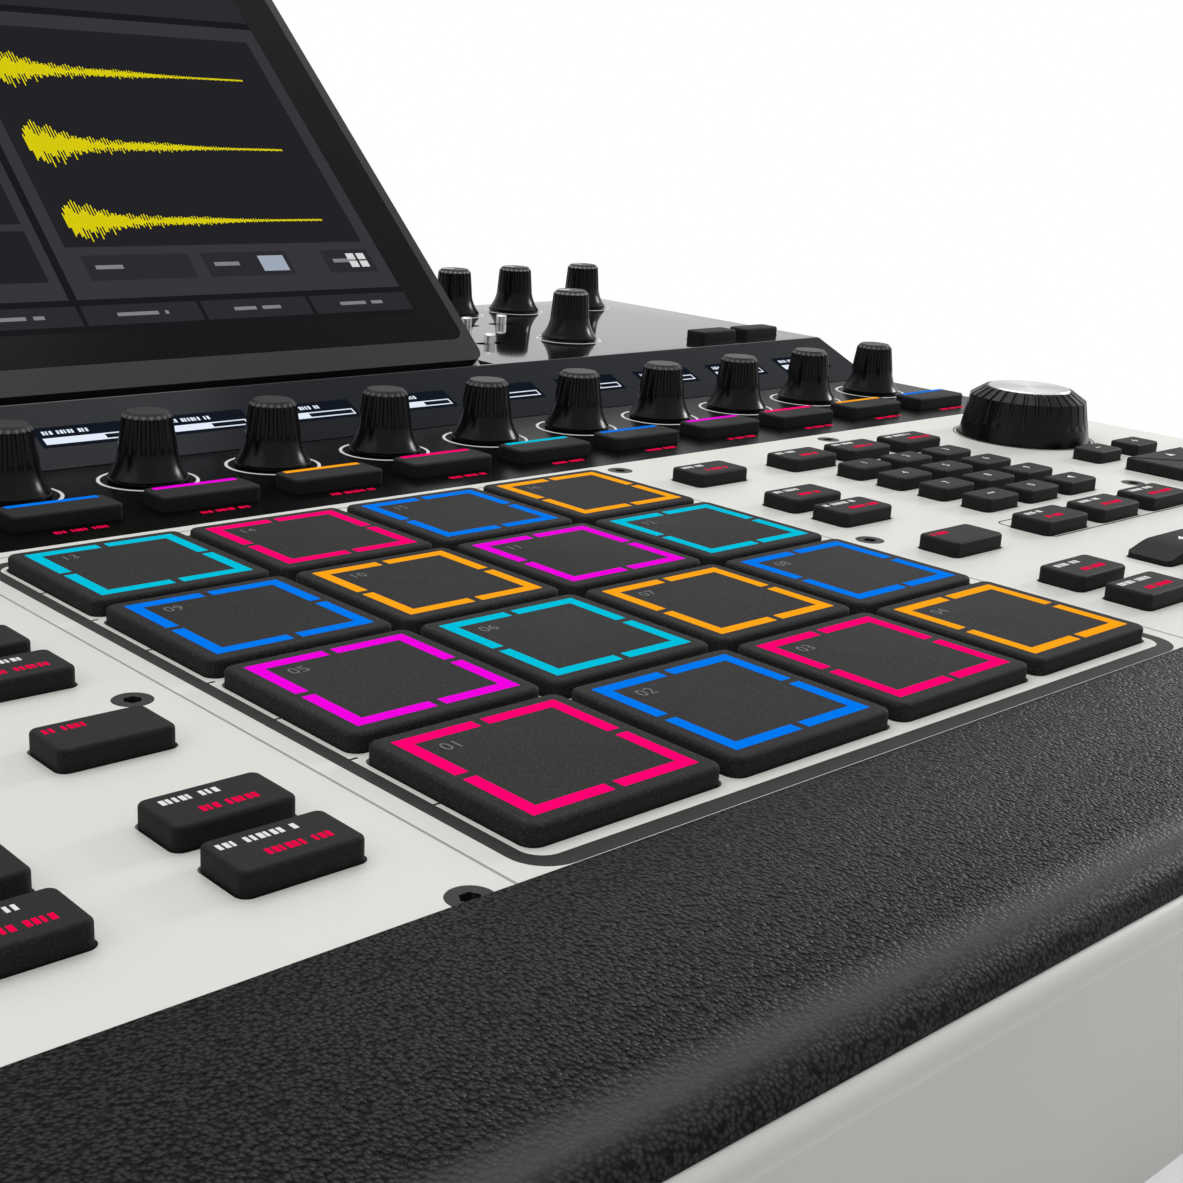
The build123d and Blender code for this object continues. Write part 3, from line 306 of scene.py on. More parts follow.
def spun(name, base, centre):
    """Turned metal: fine rings about a centre, with sectors of brighter and darker sheen."""
    finish = Finish(name)
    offset = finish.node("ShaderNodeMapping", {},
                         {"Vector": finish.place, "Location": (-centre[0], -centre[1], 0)})
    flat = finish.node("ShaderNodeVectorMath", {"operation": "MULTIPLY"}, {0: offset, 1: (1, 1, 0)})
    radius = finish.node("ShaderNodeVectorMath", {"operation": "LENGTH"}, {0: flat}, 1)
    rings = finish.node("ShaderNodeTexNoise", {"noise_dimensions": "1D"},
                        {"W": radius, "Scale": 5200.0, "Detail": 2.0})
    turn = finish.node("ShaderNodeTexGradient", {"gradient_type": "RADIAL"}, {"Vector": flat}) * (4 * math.pi)
    sheen = turn.math("SINE", turn)
    finish.set(Base_Color=finish.mix(0.5 + sheen * 0.4, shade(base, -0.25), shade(base, 0.3)),
               Metallic=1.0, Roughness=0.24 + rings * 0.2)
    finish.relief(rings, 0.02 * MM, 0.5)
    return finish.material


def glossy(name, base, roughness, streak, gloss):
    """Smooth gloss with faint wiping streaks and dust in its roughness."""
    finish = Finish(name)
    wiped = finish.noise(14 * MM, 4.0, (0.25, 1, 1))
    dust = finish.noise(0.8 * MM, 1.0)
    finish.set(Base_Color=finish.mix((dust - 0.55) * 1.5, base, shade(base, 0.008)),
               Roughness=roughness + wiped * streak, Specular_IOR_Level=gloss)
    finish.relief(wiped, 0.02 * MM, 0.15)
    return finish.material


def light(name, base, strength):
    """A lit mark: its colour glows evenly, with a fine diffusing grain."""
    finish = Finish(name)
    grain = finish.noise(0.5 * MM)
    finish.set(Base_Color=shade(base, -0.97), Roughness=0.9, Specular_IOR_Level=0.0,
               Emission_Strength=strength, Emission_Color=finish.mix(grain * 0.2, base, shade(base, -0.15)))
    return finish.material


def printed(name, base):
    """Screen-printed ink with a slightly uneven coat."""
    finish = Finish(name)
    coat = finish.noise(0.6 * MM, 3.0)
    finish.set(Base_Color=finish.mix(coat * 0.3, base, shade(base, -0.25)), Roughness=0.5 + coat * 0.15,
               Specular_IOR_Level=0.2)
    return finish.material


def slabs(boxes):
    """Closed boxes, one per row of low and high corners: eight corners and six outward faces each."""
    rows = np.asarray(boxes, float).reshape(-1, 2, 3)
    pick = np.array([[0, 0, 0], [1, 0, 0], [1, 1, 0], [0, 1, 0], [0, 0, 1], [1, 0, 1], [1, 1, 1], [0, 1, 1]])
    points = np.where(pick[None] == 0, rows[:, :1], rows[:, 1:])
    sides = np.array([[0, 3, 2, 1], [4, 5, 6, 7], [0, 1, 5, 4], [1, 2, 6, 5], [2, 3, 7, 6], [3, 0, 4, 7]])
    faces = (sides[None] + 8 * np.arange(len(rows))[:, None, None]).reshape(-1, 4)
    return points.reshape(-1, 3), faces


def sheet(points, wrap_u, wrap_v):
    """Quads over a grid of points, joined end to end along either wrapped direction."""
    n, m = points.shape[:2]
    i = np.arange(n if wrap_u else n - 1)[:, None]
    j = np.arange(m if wrap_v else m - 1)[None]
    k, l = (i + 1) % n, (j + 1) % m
    faces = np.stack([i * m + j, k * m + j, k * m + l, i * m + l], axis=-1)
    return points.reshape(-1, 3), faces.reshape(-1, 4)


def ring(outer, inner, z_low, z_high):
    """A raised strip between two closed outlines of as many points each, carried up from z_low to z_high."""
    loops = [(outer, z_low), (outer, z_high), (inner, z_high), (inner, z_low)]
    grid = np.stack([np.column_stack([loop, np.full(len(loop), z)]) for loop, z in loops], axis=1)
    return sheet(grid, True, True)


def rounded(centre, half, corner, steps=10):
    """A rounded rectangle, counter-clockwise: a quarter circle about each corner's centre."""
    turn = np.linspace(0, math.pi / 2, steps)[None, :] + (np.arange(4) * math.pi / 2)[:, None]
    signs = np.array([[1, 1], [-1, 1], [-1, -1], [1, -1]])
    centres = np.array(centre) + signs * (np.array(half) - corner)
    arcs = centres[:, None, :] + corner * np.stack([np.cos(turn), np.sin(turn)], axis=-1)
    return arcs.reshape(-1, 2)


def circle(centre, radius, steps=72):
    """A circle, counter-clockwise."""
    turn = np.arange(steps) * 2 * math.pi / steps
    return np.array(centre) + radius * np.column_stack([np.cos(turn), np.sin(turn)])


def wedge(centre, size, heading, z_low, z_high):
    """A small solid triangle that points along a heading in degrees."""
    turn = math.radians(heading) + np.array([0, 2, 4]) * math.pi / 3
    corners = np.array(centre) + size * np.column_stack([np.cos(turn), np.sin(turn)])
    points = np.vstack([np.column_stack([corners, np.full(3, z)]) for z in (z_low, z_high)])
    ends = [[2, 1, 0], [3, 4, 5]]
    sides = [[0, 1, 4], [0, 4, 3], [1, 2, 5], [1, 5, 4], [2, 0, 3], [2, 3, 5]]
    return points, np.array(ends + sides)


def numeral(text, size, corner, z_low, z_high):
    """Flat numerals as a thin solid, with the text's lower left corner at a place."""
    curve = bpy.data.curves.new("numeral", "FONT")
    curve.body = text
    curve.size = size
    curve.extrude = (z_high - z_low) / 2
    curve.resolution_u = 3
    holder = bpy.data.objects.new("numeral", curve)
    bpy.context.scene.collection.objects.link(holder)
    bpy.context.view_layer.update()
    mesh = bpy.data.meshes.new_from_object(holder.evaluated_get(bpy.context.evaluated_depsgraph_get()))
    mesh.calc_loop_triangles()
    points = np.zeros(len(mesh.vertices) * 3)
    mesh.vertices.foreach_get("co", points)
    faces = np.zeros(len(mesh.loop_triangles) * 3, int)
    mesh.loop_triangles.foreach_get("vertices", faces)
    bpy.data.objects.remove(holder)
    bpy.data.meshes.remove(mesh)
    bpy.data.curves.remove(curve)
    return points.reshape(-1, 3) + np.array([*corner, (z_low + z_high) / 2]), faces.reshape(-1, 3)


def piece(name, body, shapes, place=None, smooth=False):
    """One object from shapes and their materials, moved by a matrix if one is given, riding on a body."""
    points, faces, marks, materials = [], [], [], []
    for form, material in shapes:
        start = sum(len(p) for p in points)
        points.append(np.asarray(form[0], float))
        faces += (np.asarray(form[1]) + start).tolist()
        if material not in materials:
            materials.append(material)
        marks += [materials.index(material)] * len(form[1])
    cloud = np.vstack(points)
    if place is not None:
        cloud = cloud @ place[:3, :3].T + place[:3, 3]
    mesh = bpy.data.meshes.new(name)
    mesh.from_pydata(cloud.tolist(), [], faces)
    mesh.polygons.foreach_set("material_index", marks)
    mesh.polygons.foreach_set("use_smooth", [smooth] * len(faces))
    for material in materials:
        mesh.materials.append(material)
    mesh.update()
    made = bpy.data.objects.new(name, mesh)
    bpy.context.scene.collection.objects.link(made)
    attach(made, body)
    return made


def ink(name, maker, *values):
    """A material that is made once and then shared."""
    return bpy.data.materials.get(name) or maker(name, *values)


def lamp(name, colours):
    """The shared material of one lit colour."""
    return ink("light_" + name, light, getattr(colours, name), 1.0)


def soft_shading():
    """A modifier group that joins a node's loose triangles and shades it smooth up to 32 degrees."""
    group = bpy.data.node_groups.new("soft_shading", "GeometryNodeTree")
    group.interface.new_socket("Geometry", in_out="INPUT", socket_type="NodeSocketGeometry")
    group.interface.new_socket("Geometry", in_out="OUTPUT", socket_type="NodeSocketGeometry")
    build = Nodes(group)
    source = build.node("NodeGroupInput", {}, {})
    joined = build.node("GeometryNodeMergeByDistance", {}, {"Geometry": source, "Distance": 0.001 * MM})
    smooth = build.node("GeometryNodeSetShadeSmooth", {}, {"Geometry": joined})
    angle = build.node("GeometryNodeInputMeshEdgeAngle", {}, {})
    sharp = build.node("FunctionNodeCompare", {"operation": "GREATER_THAN"}, {0: angle, 1: math.radians(32)})
    edges = build.node("GeometryNodeSetShadeSmooth", {"domain": "EDGE"},
                       {"Geometry": smooth, "Selection": sharp, "Shade Smooth": False})
    build.node("NodeGroupOutput", {}, {0: edges})
    return group


class WORKSTATION_OT_finishes(bpy.types.Operator):
    """Give every CAD node its own finish"""
    bl_idname = "workstation.finishes"
    bl_label = "Finishes"

    def execute(self, context):
        c = context.scene.workstation_colours
        panel = moulded("panel_paint", c.panel, 0.35, 0.1, 0.42, 0.02)
        case = moulded("case_moulding", c.case, 0.5, 0.05, 0.34, 0.015)
        pad = moulded("pad_silicone", c.pad, 0.32, 0.045, 0.7, 0.05, Specular_IOR_Level=0.12)
        key = moulded("key_caps", c.key, 0.28, 0.02, 0.6, 0.03, Specular_IOR_Level=0.12)
        black = moulded("black_metal", shade(c.strip, 0.015), 0.4, 0.04, 0.4, 0.02, Specular_IOR_Level=0.15)
        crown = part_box(KNOBS[0])[1].z - 1.25 * MM
        deck_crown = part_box(DECK_KNOBS[0])[1].z - 1.25 * MM
        dial_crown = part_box("data_dial")[1].z + 1.0 * MM
        finishes = {
            "lower_chassis": case, "display_shell": case, "main_panel": panel, "panel_screws": black,
            "rubber_feet": moulded("foot_rubber", shade(c.pad, -0.4), 0.6, 0.06, 0.8, 0.05),
            "knob_strip": moulded("strip_plate", c.strip, 0.4, 0.003, 0.25, 0.006, Specular_IOR_Level=0.03),
            "display_strip": glossy("lens", c.lens, 0.12, 0.1, 0.03),
            "oled_modules": glossy("display_module", shade(c.lens, -0.3), 0.2, 0.1, 0.2),
            "rear_deck": glossy("deck_gloss", c.deck, 0.03, 0.05, 0.42),
            "display_bezel": moulded("bezel_satin", c.bezel, 0.4, 0.01, 0.42, 0.015, Specular_IOR_Level=0.16),
            "display_glass": glossy("screen_glass", linear("0B0B0C"), 0.16, 0.06, 0.045),
            "data_dial": knob_finish("dial_satin", c.knob, dial_crown, 0.2),
            "dial_cap": spun("dial_spun_cap", linear("C6C7C8"), middle("dial_cap")),
            "slide_switches": spun("switch_bright", linear("C8C8C9"), middle("slide_switches")),
            "encoder_bodies": moulded("encoder_can", linear("9A9A9C"), 0.5, 0.1, 0.35, 0.02, Metallic=1.0),
            "circuit_boards": moulded("board_mask", linear("17502E"), 0.8, 0.1, 0.4, 0.03),
            "power_supply": moulded("supply_can", linear("B0B2B4"), 0.6, 0.1, 0.4, 0.02, Metallic=1.0),
            "rear_sockets": moulded("socket_moulding", shade(c.key, -0.3), 0.4, 0.06, 0.45, 0.02),
            "hinge_brackets": moulded("hinge_steel", linear("4A4B4D"), 0.4, 0.1, 0.35, 0.02, Metallic=1.0),
            "armrest_pad": ink("rest_pebbled", pebbled, c.rest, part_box("armrest_pad")[0].y + 6.5 * MM),
        }
        finishes.update(dict.fromkeys(PADS, pad))
        finishes.update(dict.fromkeys(KEY_BANKS, key))
        # The last argument is how pale the painted highlight at the crown's edge is; the deck knobs get a
        # stronger one.
        finishes.update(dict.fromkeys(KNOBS, knob_finish("knob_satin", c.knob, crown, 0.2)))
        finishes.update(dict.fromkeys(DECK_KNOBS, knob_finish("deck_knob_satin", c.knob, deck_crown, 0.5)))
        shading = soft_shading()
        for name, material in finishes.items():
            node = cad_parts[name]
            node.data.materials.clear()
            node.data.materials.append(material)
            node.modifiers.new("soft_shading", "NODES").node_group = shading
        return {"FINISHED"}


class WORKSTATION_OT_front_rest(bpy.types.Operator):
    """Make the padded front rest"""
    bl_idname = "workstation.front_rest"
    bl_label = "Front rest"

    def execute(self, context):
        low, high = (np.array(corner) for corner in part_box("armrest_pad"))
        rest = piece("front_rest", "case",
                     [(rest_form(low, high), bpy.data.materials["rest_pebbled"])], smooth=True)
        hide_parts("armrest_pad")
        return {"FINISHED"}


def rest_form(low, high):
    """The rest: one closed section carried along X, with its ends pulled in.

    The section runs from the thin rear edge that laps over the panel, along a crowned top that falls
    forwards, round an elliptical nose, back along the flat base and up behind. Near each end it shrinks about
    its base by a quarter circle, and a last loop closes the end on its middle.
    """
    panel_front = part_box("main_panel")[0].y - 0.6 * MM
    ridge_y, ridge_z = low[1] + 6.0 * MM, PANEL_Z - 4.0 * MM
    rear_z, seat_z, crown = PANEL_Z + 0.8 * MM, PANEL_Z + 0.02 * MM, 0.9 * MM
    along = np.linspace(0, 1, 48)
    top_y = high[1] + (ridge_y - high[1]) * along
    top_z = rear_z + (ridge_z - rear_z) * along ** 1.15 + crown * np.sin(math.pi * along)
    turn = np.linspace(0, math.pi / 2, 16)[1:]
    nose_y = ridge_y - (ridge_y - low[1]) * np.sin(turn)
    nose_z = low[2] + (ridge_z - low[2]) * np.cos(turn) ** 0.9
    base_y = np.linspace(low[1], panel_front, 14)[1:]
    back_z = np.linspace(low[2], seat_z, 6)[1:]
    lap_y = np.linspace(panel_front, high[1], 4)[1:]
    y = np.concatenate([top_y, nose_y, base_y, np.full(len(back_z), panel_front), lap_y])
    z = np.concatenate([top_z, nose_z, np.full(len(base_y), low[2]), back_z, np.full(len(lap_y), seat_z)])
    inset, straight = 2.4 * MM, 6 * MM
    ease = np.linspace(0, math.pi / 2, 9)
    x = np.concatenate([low[0] + inset * (1 - np.cos(ease)),
                        np.linspace(low[0] + straight, high[0] - straight, 90),
                        high[0] - inset * (1 - np.cos(ease[::-1]))])
    near = np.clip(np.minimum(x - low[0], high[0] - x) / inset, 0, 1)
    shrink = 1 - 0.16 * (1 - np.sqrt(1 - (1 - near) ** 2))
    grid = np.empty((len(x) + 2, len(y), 3))
    grid[1:-1, :, 0] = x[:, None]
    grid[1:-1, :, 1] = y[None]
    grid[1:-1, :, 2] = np.where(z > PANEL_Z, PANEL_Z, low[2])[None]
    grid[1:-1, :, 2] += (z[None] - grid[1:-1, :, 2]) * shrink[:, None]
    grid[0], grid[-1] = grid[1].mean(axis=0), grid[-2].mean(axis=0)
    return sheet(grid, False, True)


class WORKSTATION_OT_pad_lights(bpy.types.Operator):
    """Lay the lit borders and the numerals into the pads"""
    bl_idname = "workstation.pad_lights"
    bl_label = "Pad lights"

    def execute(self, context):
        s, c = context.scene.workstation_sizes, context.scene.workstation_colours
        grey = ink("pad_numeral", printed, linear("6A6A6A"))
        far, near, gap = s.border_half, s.border_half - s.border_width, s.border_break / 2
        low, high = PAD_TOP - s.inlay, PAD_TOP + s.inlay
        sides = [(gap, near, far, far), (-far, near, -gap, far),
                 (gap, -far, far, -near), (-far, -far, -gap, -near),
                 (near, gap, far, near), (near, -near, far, -gap),
                 (-far, gap, -near, near), (-far, -near, -near, -gap)]
        for number, (name, hue) in enumerate(zip(PADS, PAD_COLOURS.split()), start=1):
            x, y, _ = middle(name)
            bars = slabs([((x + a, y + b, low), (x + d, y + e, high)) for a, b, d, e in sides])
            corner = (x - near + 2.2 * MM, y + near - 4.6 * MM)
            digits = numeral("%02d" % number, s.pad_numeral, corner, low, high)
            piece(name + "_light", name, [(bars, lamp(hue, c)), (digits, grey)])
        return {"FINISHED"}


class WORKSTATION_OT_panel_prints(bpy.types.Operator):
    """Print the bands, lines, ticks and rings on the plates"""
    bl_idname = "workstation.panel_prints"
    bl_label = "Panel prints"

    def execute(self, context):
        s, c = context.scene.workstation_sizes, context.scene.workstation_colours
        dark = ink("print_dark", printed, c.print_dark)
        white = ink("print_white", printed, c.legend_white)
        faint = ink("print_faint", printed, linear("A5A5A0"))
        low, high = PANEL_Z - s.inlay, PANEL_Z + s.inlay
        x, y = PAD_CENTRE[:2]
        line, edge = s.line, s.rail_half
        outer = rounded((x, y - 1.03 * MM), (s.band_half, s.band_half + 1.13 * MM), s.band_corner)
        inside = s.band_half - s.band_width
        inner = rounded((x, y - 0.7 * MM), (inside, inside + 0.8 * MM), s.band_corner - s.band_width)
        shapes = [(ring(outer, inner, low, high), dark)]
        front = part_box("main_panel")[0].y + 0.2 * MM
        rails = [((side * edge - line / 2, front, low), (side * edge + line / 2, y + edge, high))
                 for side in (-1, 1)]
        rails.append(((-edge, y + edge - line, low), (edge, y + edge, high)))
        places = [(side * s.tick_half, y + step * s.tick_pitch) for side in (-1, 1) for step in range(-3, 4)]
        ticks = [((a - 0.7 * MM, b - 0.2 * MM, low), (a + 0.7 * MM, b + 0.2 * MM, high)) for a, b in places]
        shapes.append((slabs(rails), faint))
        shapes.append((slabs(ticks), dark))
        group, half, corner = (162.8 * MM, y - 13.6 * MM), np.array([34.4, 7.9]) * MM, 2.4 * MM
        outer, inner = rounded(group, half, corner), rounded(group, half - line, corner - line)
        shapes.append((ring(outer, inner, low, high), dark))
        dial = middle("data_dial")[:2]
        # The second ring is a painted shadow: dark print where the gap round the dial lies in shade.
        for radius, width in ((s.dial_ring, line), (s.dial_shadow, s.dial_shadow_width)):
            shapes.append((ring(circle(dial, radius), circle(dial, radius - width), low, high), dark))
        rings = [(middle(name)[:2], PANEL_Z, s.knob_ring) for name in KNOBS]
        rings += [(middle(name)[:2], DECK_Z, s.knob_ring - 1.0 * MM) for name in DECK_KNOBS]
        for centre, z, across in rings:
            outer, inner = circle(centre, across / 2), circle(centre, across / 2 - s.ring_width)
            shapes.append((ring(outer, inner, z - s.inlay, z + s.inlay), white))
        piece("plate_prints", "case", shapes)
        return {"FINISHED"}


def dashes(x, y, run, size, seed, z_low, z_high):
    """A row of small upright blocks as marks: their widths follow a sine, and every fifth or so is a space."""
    step = 0.62 * size
    count = max(int(run / step), 2)
    order = np.arange(count)
    widths = step * (0.62 + 0.16 * np.sin(order * 2.4 + seed * 1.3))
    kept = (order + seed) % (5 + seed % 3) != 4
    starts = (x + order * step)[kept]
    return [((a, y, z_low), (a + b, y + size, z_high)) for a, b in zip(starts, widths[kept])]


def key_grid():
    """Centres of the left and right function keys, read from the key banks' boxes."""
    low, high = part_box("left_keys")
    half = np.array([9.6, 6.0]) * MM
    columns = np.linspace(low.x + half[0], high.x - half[0], 5)
    pitch = (high.y - low.y - 2 * half[1]) / 8
    rows = [high.y - half[1] - step * pitch for step in (0, 2, 3, 5, 7, 8)]
    third = middle("number_keys")[0]
    pitch_x = 23.2 * MM
    group = [third - pitch_x, third, third + pitch_x]
    left = [(x, y) for x in columns for y in rows]
    right = [(-columns[-1], y) for y in rows]
    right += [(x, rows[i]) for i in (0, 3, 5) for x in group]
    return left, right, rows


class WORKSTATION_OT_key_marks(bpy.types.Operator):
    """Mark the keys with plain strokes, numerals and arrows"""
    bl_idname = "workstation.key_marks"
    bl_label = "Key marks"

    def execute(self, context):
        s, c = context.scene.workstation_sizes, context.scene.workstation_colours
        white = ink("print_white", printed, c.legend_white)
        # Painted glow: the red printed legends glow like lamps.
        red = ink("glowing_red_legend", light, c.glowing_red_legend, 0.9)
        low, high = KEY_TOP - s.inlay, KEY_TOP + s.inlay
        left_places, right_places, rows = key_grid()
        beside_pads = 110 * MM
        for bank, places in (("left_keys", left_places), ("right_keys", right_places)):
            upper, lower = [], []
            for seed, (x, y) in enumerate(places):
                left, rear, front = x - 7.6 * MM, y + 1.6 * MM, y - 2.6 * MM
                if y == rows[3] and abs(x) < beside_pads:
                    lower += dashes(left, rear, 7.0 * MM, s.stroke, seed, low, high)
                    continue
                upper += dashes(left, rear, (7.5 + seed % 3 * 2.2) * MM, s.stroke, seed, low, high)
                inner, run = x - (3.4 + seed % 2) * MM, (8.0 + seed % 3 * 1.2) * MM
                lower += dashes(inner, front, run, s.stroke, seed + 3, low, high)
            shapes = [(slabs(upper), white), (slabs(lower), red)]
            if bank == "right_keys":
                shapes += [(form, white) for form in self.arrows(rows, low, high)]
            piece(bank + "_marks", bank, shapes)
        piece("number_keys_marks", "number_keys",
              [(form, white) for form in self.numbers(s.numeral, low, high)])
        return {"FINISHED"}

    def arrows(self, rows, low, high):
        """Arrows on the cursor and arrow keys, and the plus and minus of the small keys."""
        x, dial_y, _ = middle("data_dial")
        size, reach, cursor_y = 1.7 * MM, 10.5 * MM, dial_y - 57.9 * MM
        turns = [(heading, math.radians(heading)) for heading in (0, 90, 180, 270)]
        forms = [wedge((x + math.cos(turn) * reach, cursor_y + math.sin(turn) * reach), size, heading,
                       low, high) for heading, turn in turns]
        third = middle("number_keys")[0]
        forms.append(wedge((third - 17.5 * MM, rows[4]), size, 180, low, high))
        forms.append(wedge((third + 18.0 * MM, rows[4]), size, 0, low, high))
        small, apart = dial_y - 30.7 * MM, 9.95 * MM
        stroke, half = 0.25 * MM, 1.1 * MM
        signs = [((a - half, small - stroke, low), (a + half, small + stroke, high))
                 for a in (x - apart, x + apart)]
        signs.append(((x + apart - stroke, small - half, low), (x + apart + stroke, small + half, high)))
        return forms + [slabs(signs)]

    def numbers(self, size, low, high):
        """Numerals one to nine from the rear left, nought below them between a bar and an arrow."""
        x, y, _ = middle("number_keys")
        step_x, step_y = 17.8 * MM, 12.85 * MM
        shift, half, stroke = 1.0 * MM, 1.4 * MM, 0.25 * MM
        last = y - 1.5 * step_y
        forms = []
        for index, text in enumerate("123456789"):
            place = (x + (index % 3 - 1) * step_x - shift, y + (1.5 - index // 3) * step_y - shift)
            forms.append(numeral(text, size, place, low, high))
        forms.append(numeral("0", size, (x - shift, last - shift), low, high))
        forms.append(wedge((x + step_x, last), half, 180, low, high))
        first = x - step_x
        forms.append(slabs([((first - half, last - stroke, low), (first + half, last + stroke, high))]))
        return forms


class WORKSTATION_OT_strip_lights(bpy.types.Operator):
    """Lay the lit bars on the strip keys and the red strokes in front of them"""
    bl_idname = "workstation.strip_lights"
    bl_label = "Strip lights"

    def execute(self, context):
        s, c = context.scene.workstation_sizes, context.scene.workstation_colours
        # Painted glow: the red printed strokes glow like lamps.
        red = ink("glowing_red_legend", light, c.glowing_red_legend, 0.9)
        y = middle("strip_keys")[1]
        low, high = KEY_TOP - s.inlay, KEY_TOP + s.inlay
        bars, words = [], []
        for seed, (name, hue) in enumerate(zip(KNOBS, BAR_COLOURS.split())):
            x = middle(name)[0]
            rear = y + 4.1 * MM
            half = s.bar_length / 2
            bars.append((slabs([((x - half, rear - s.bar_width, low), (x + half, rear, high))]), lamp(hue, c)))
            words += dashes(x - 5.5 * MM, y - 9.6 * MM, 13.0 * MM, s.stroke, seed,
                            PANEL_Z - s.inlay, PANEL_Z + s.inlay)
        piece("strip_keys_lights", "strip_keys", bars)
        piece("strip_prints", "case", [(slabs(words), red)])
        return {"FINISHED"}


def slope_matrix():
    """The display strip's own frame: X along the strip, Y up the slope, Z out of it, from its lower edge."""
    lens_rise, lens_run = 10.9, 25.3
    run = SLOPE_HIGH.y - SLOPE_LOW.y
    rise = run * lens_rise / lens_run
    up = Vector((0, run, rise)).normalized()
    out = Vector((1, 0, 0)).cross(up)
    place = Matrix((Vector((1, 0, 0)), up, out)).transposed().to_4x4()
    place.translation = Vector((0, SLOPE_LOW.y, SLOPE_HIGH.z - rise))
    return np.array(place)


class WORKSTATION_OT_small_displays(bpy.types.Operator):
    """Light one window of the display strip for each knob"""
    bl_idname = "workstation.small_displays"
    bl_label = "Small displays"

    def execute(self, context):
        s = context.scene.workstation_sizes
        field = ink("window_field", light, linear("161C27"), 0.8)
        lit = ink("window_lit", light, linear("E8F1FF"), 0.95)
        low, high = -0.02 * MM, s.inlay
        fields, marks = [], []
        for seed, name in enumerate(KNOBS):
            x = middle(name)[0]
            left, foot = x - s.window_width / 2, s.window_rise - s.window_height / 2
            fields.append(((left, foot, low), (left + s.window_width, foot + s.window_height, high)))
            top = high + 0.02 * MM
            marks += dashes(left + 2.0 * MM, foot + 5.2 * MM, 13.0 * MM, s.stroke, seed, low, top)
            margin, edge = 1.2 * MM, 0.45 * MM
            right, level = left + s.window_width - margin, left + (9.0 + seed * 5 % 9) * MM
            under, over = foot + margin, foot + 3.8 * MM
            marks += [((left + margin, under, low), (level, over, top)),
                      ((level, under, low), (right, under + edge, top)),
                      ((level, over - edge, low), (right, over, top)),
                      ((right - edge, under, low), (right, over, top))]
        shapes = [(slabs(fields), field), (slabs(marks), lit)]
        piece("small_display_windows", "case", shapes, slope_matrix())
        return {"FINISHED"}


def screen_matrix():
    """The screen's own frame: X to the right, Y up the screen, Z out of the glass, from its lower middle."""
    low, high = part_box("display_bezel")
    lean = math.radians(41.2)
    up = Vector((0, math.cos(lean), math.sin(lean)))
    out = Vector((0, -math.sin(lean), math.cos(lean)))
    place = Matrix((Vector((1, 0, 0)), up, out)).transposed().to_4x4()
    tall = 169.5 * MM
    place.translation = Vector((0, low.y, high.z - tall * math.sin(lean)))
    return np.array(place)


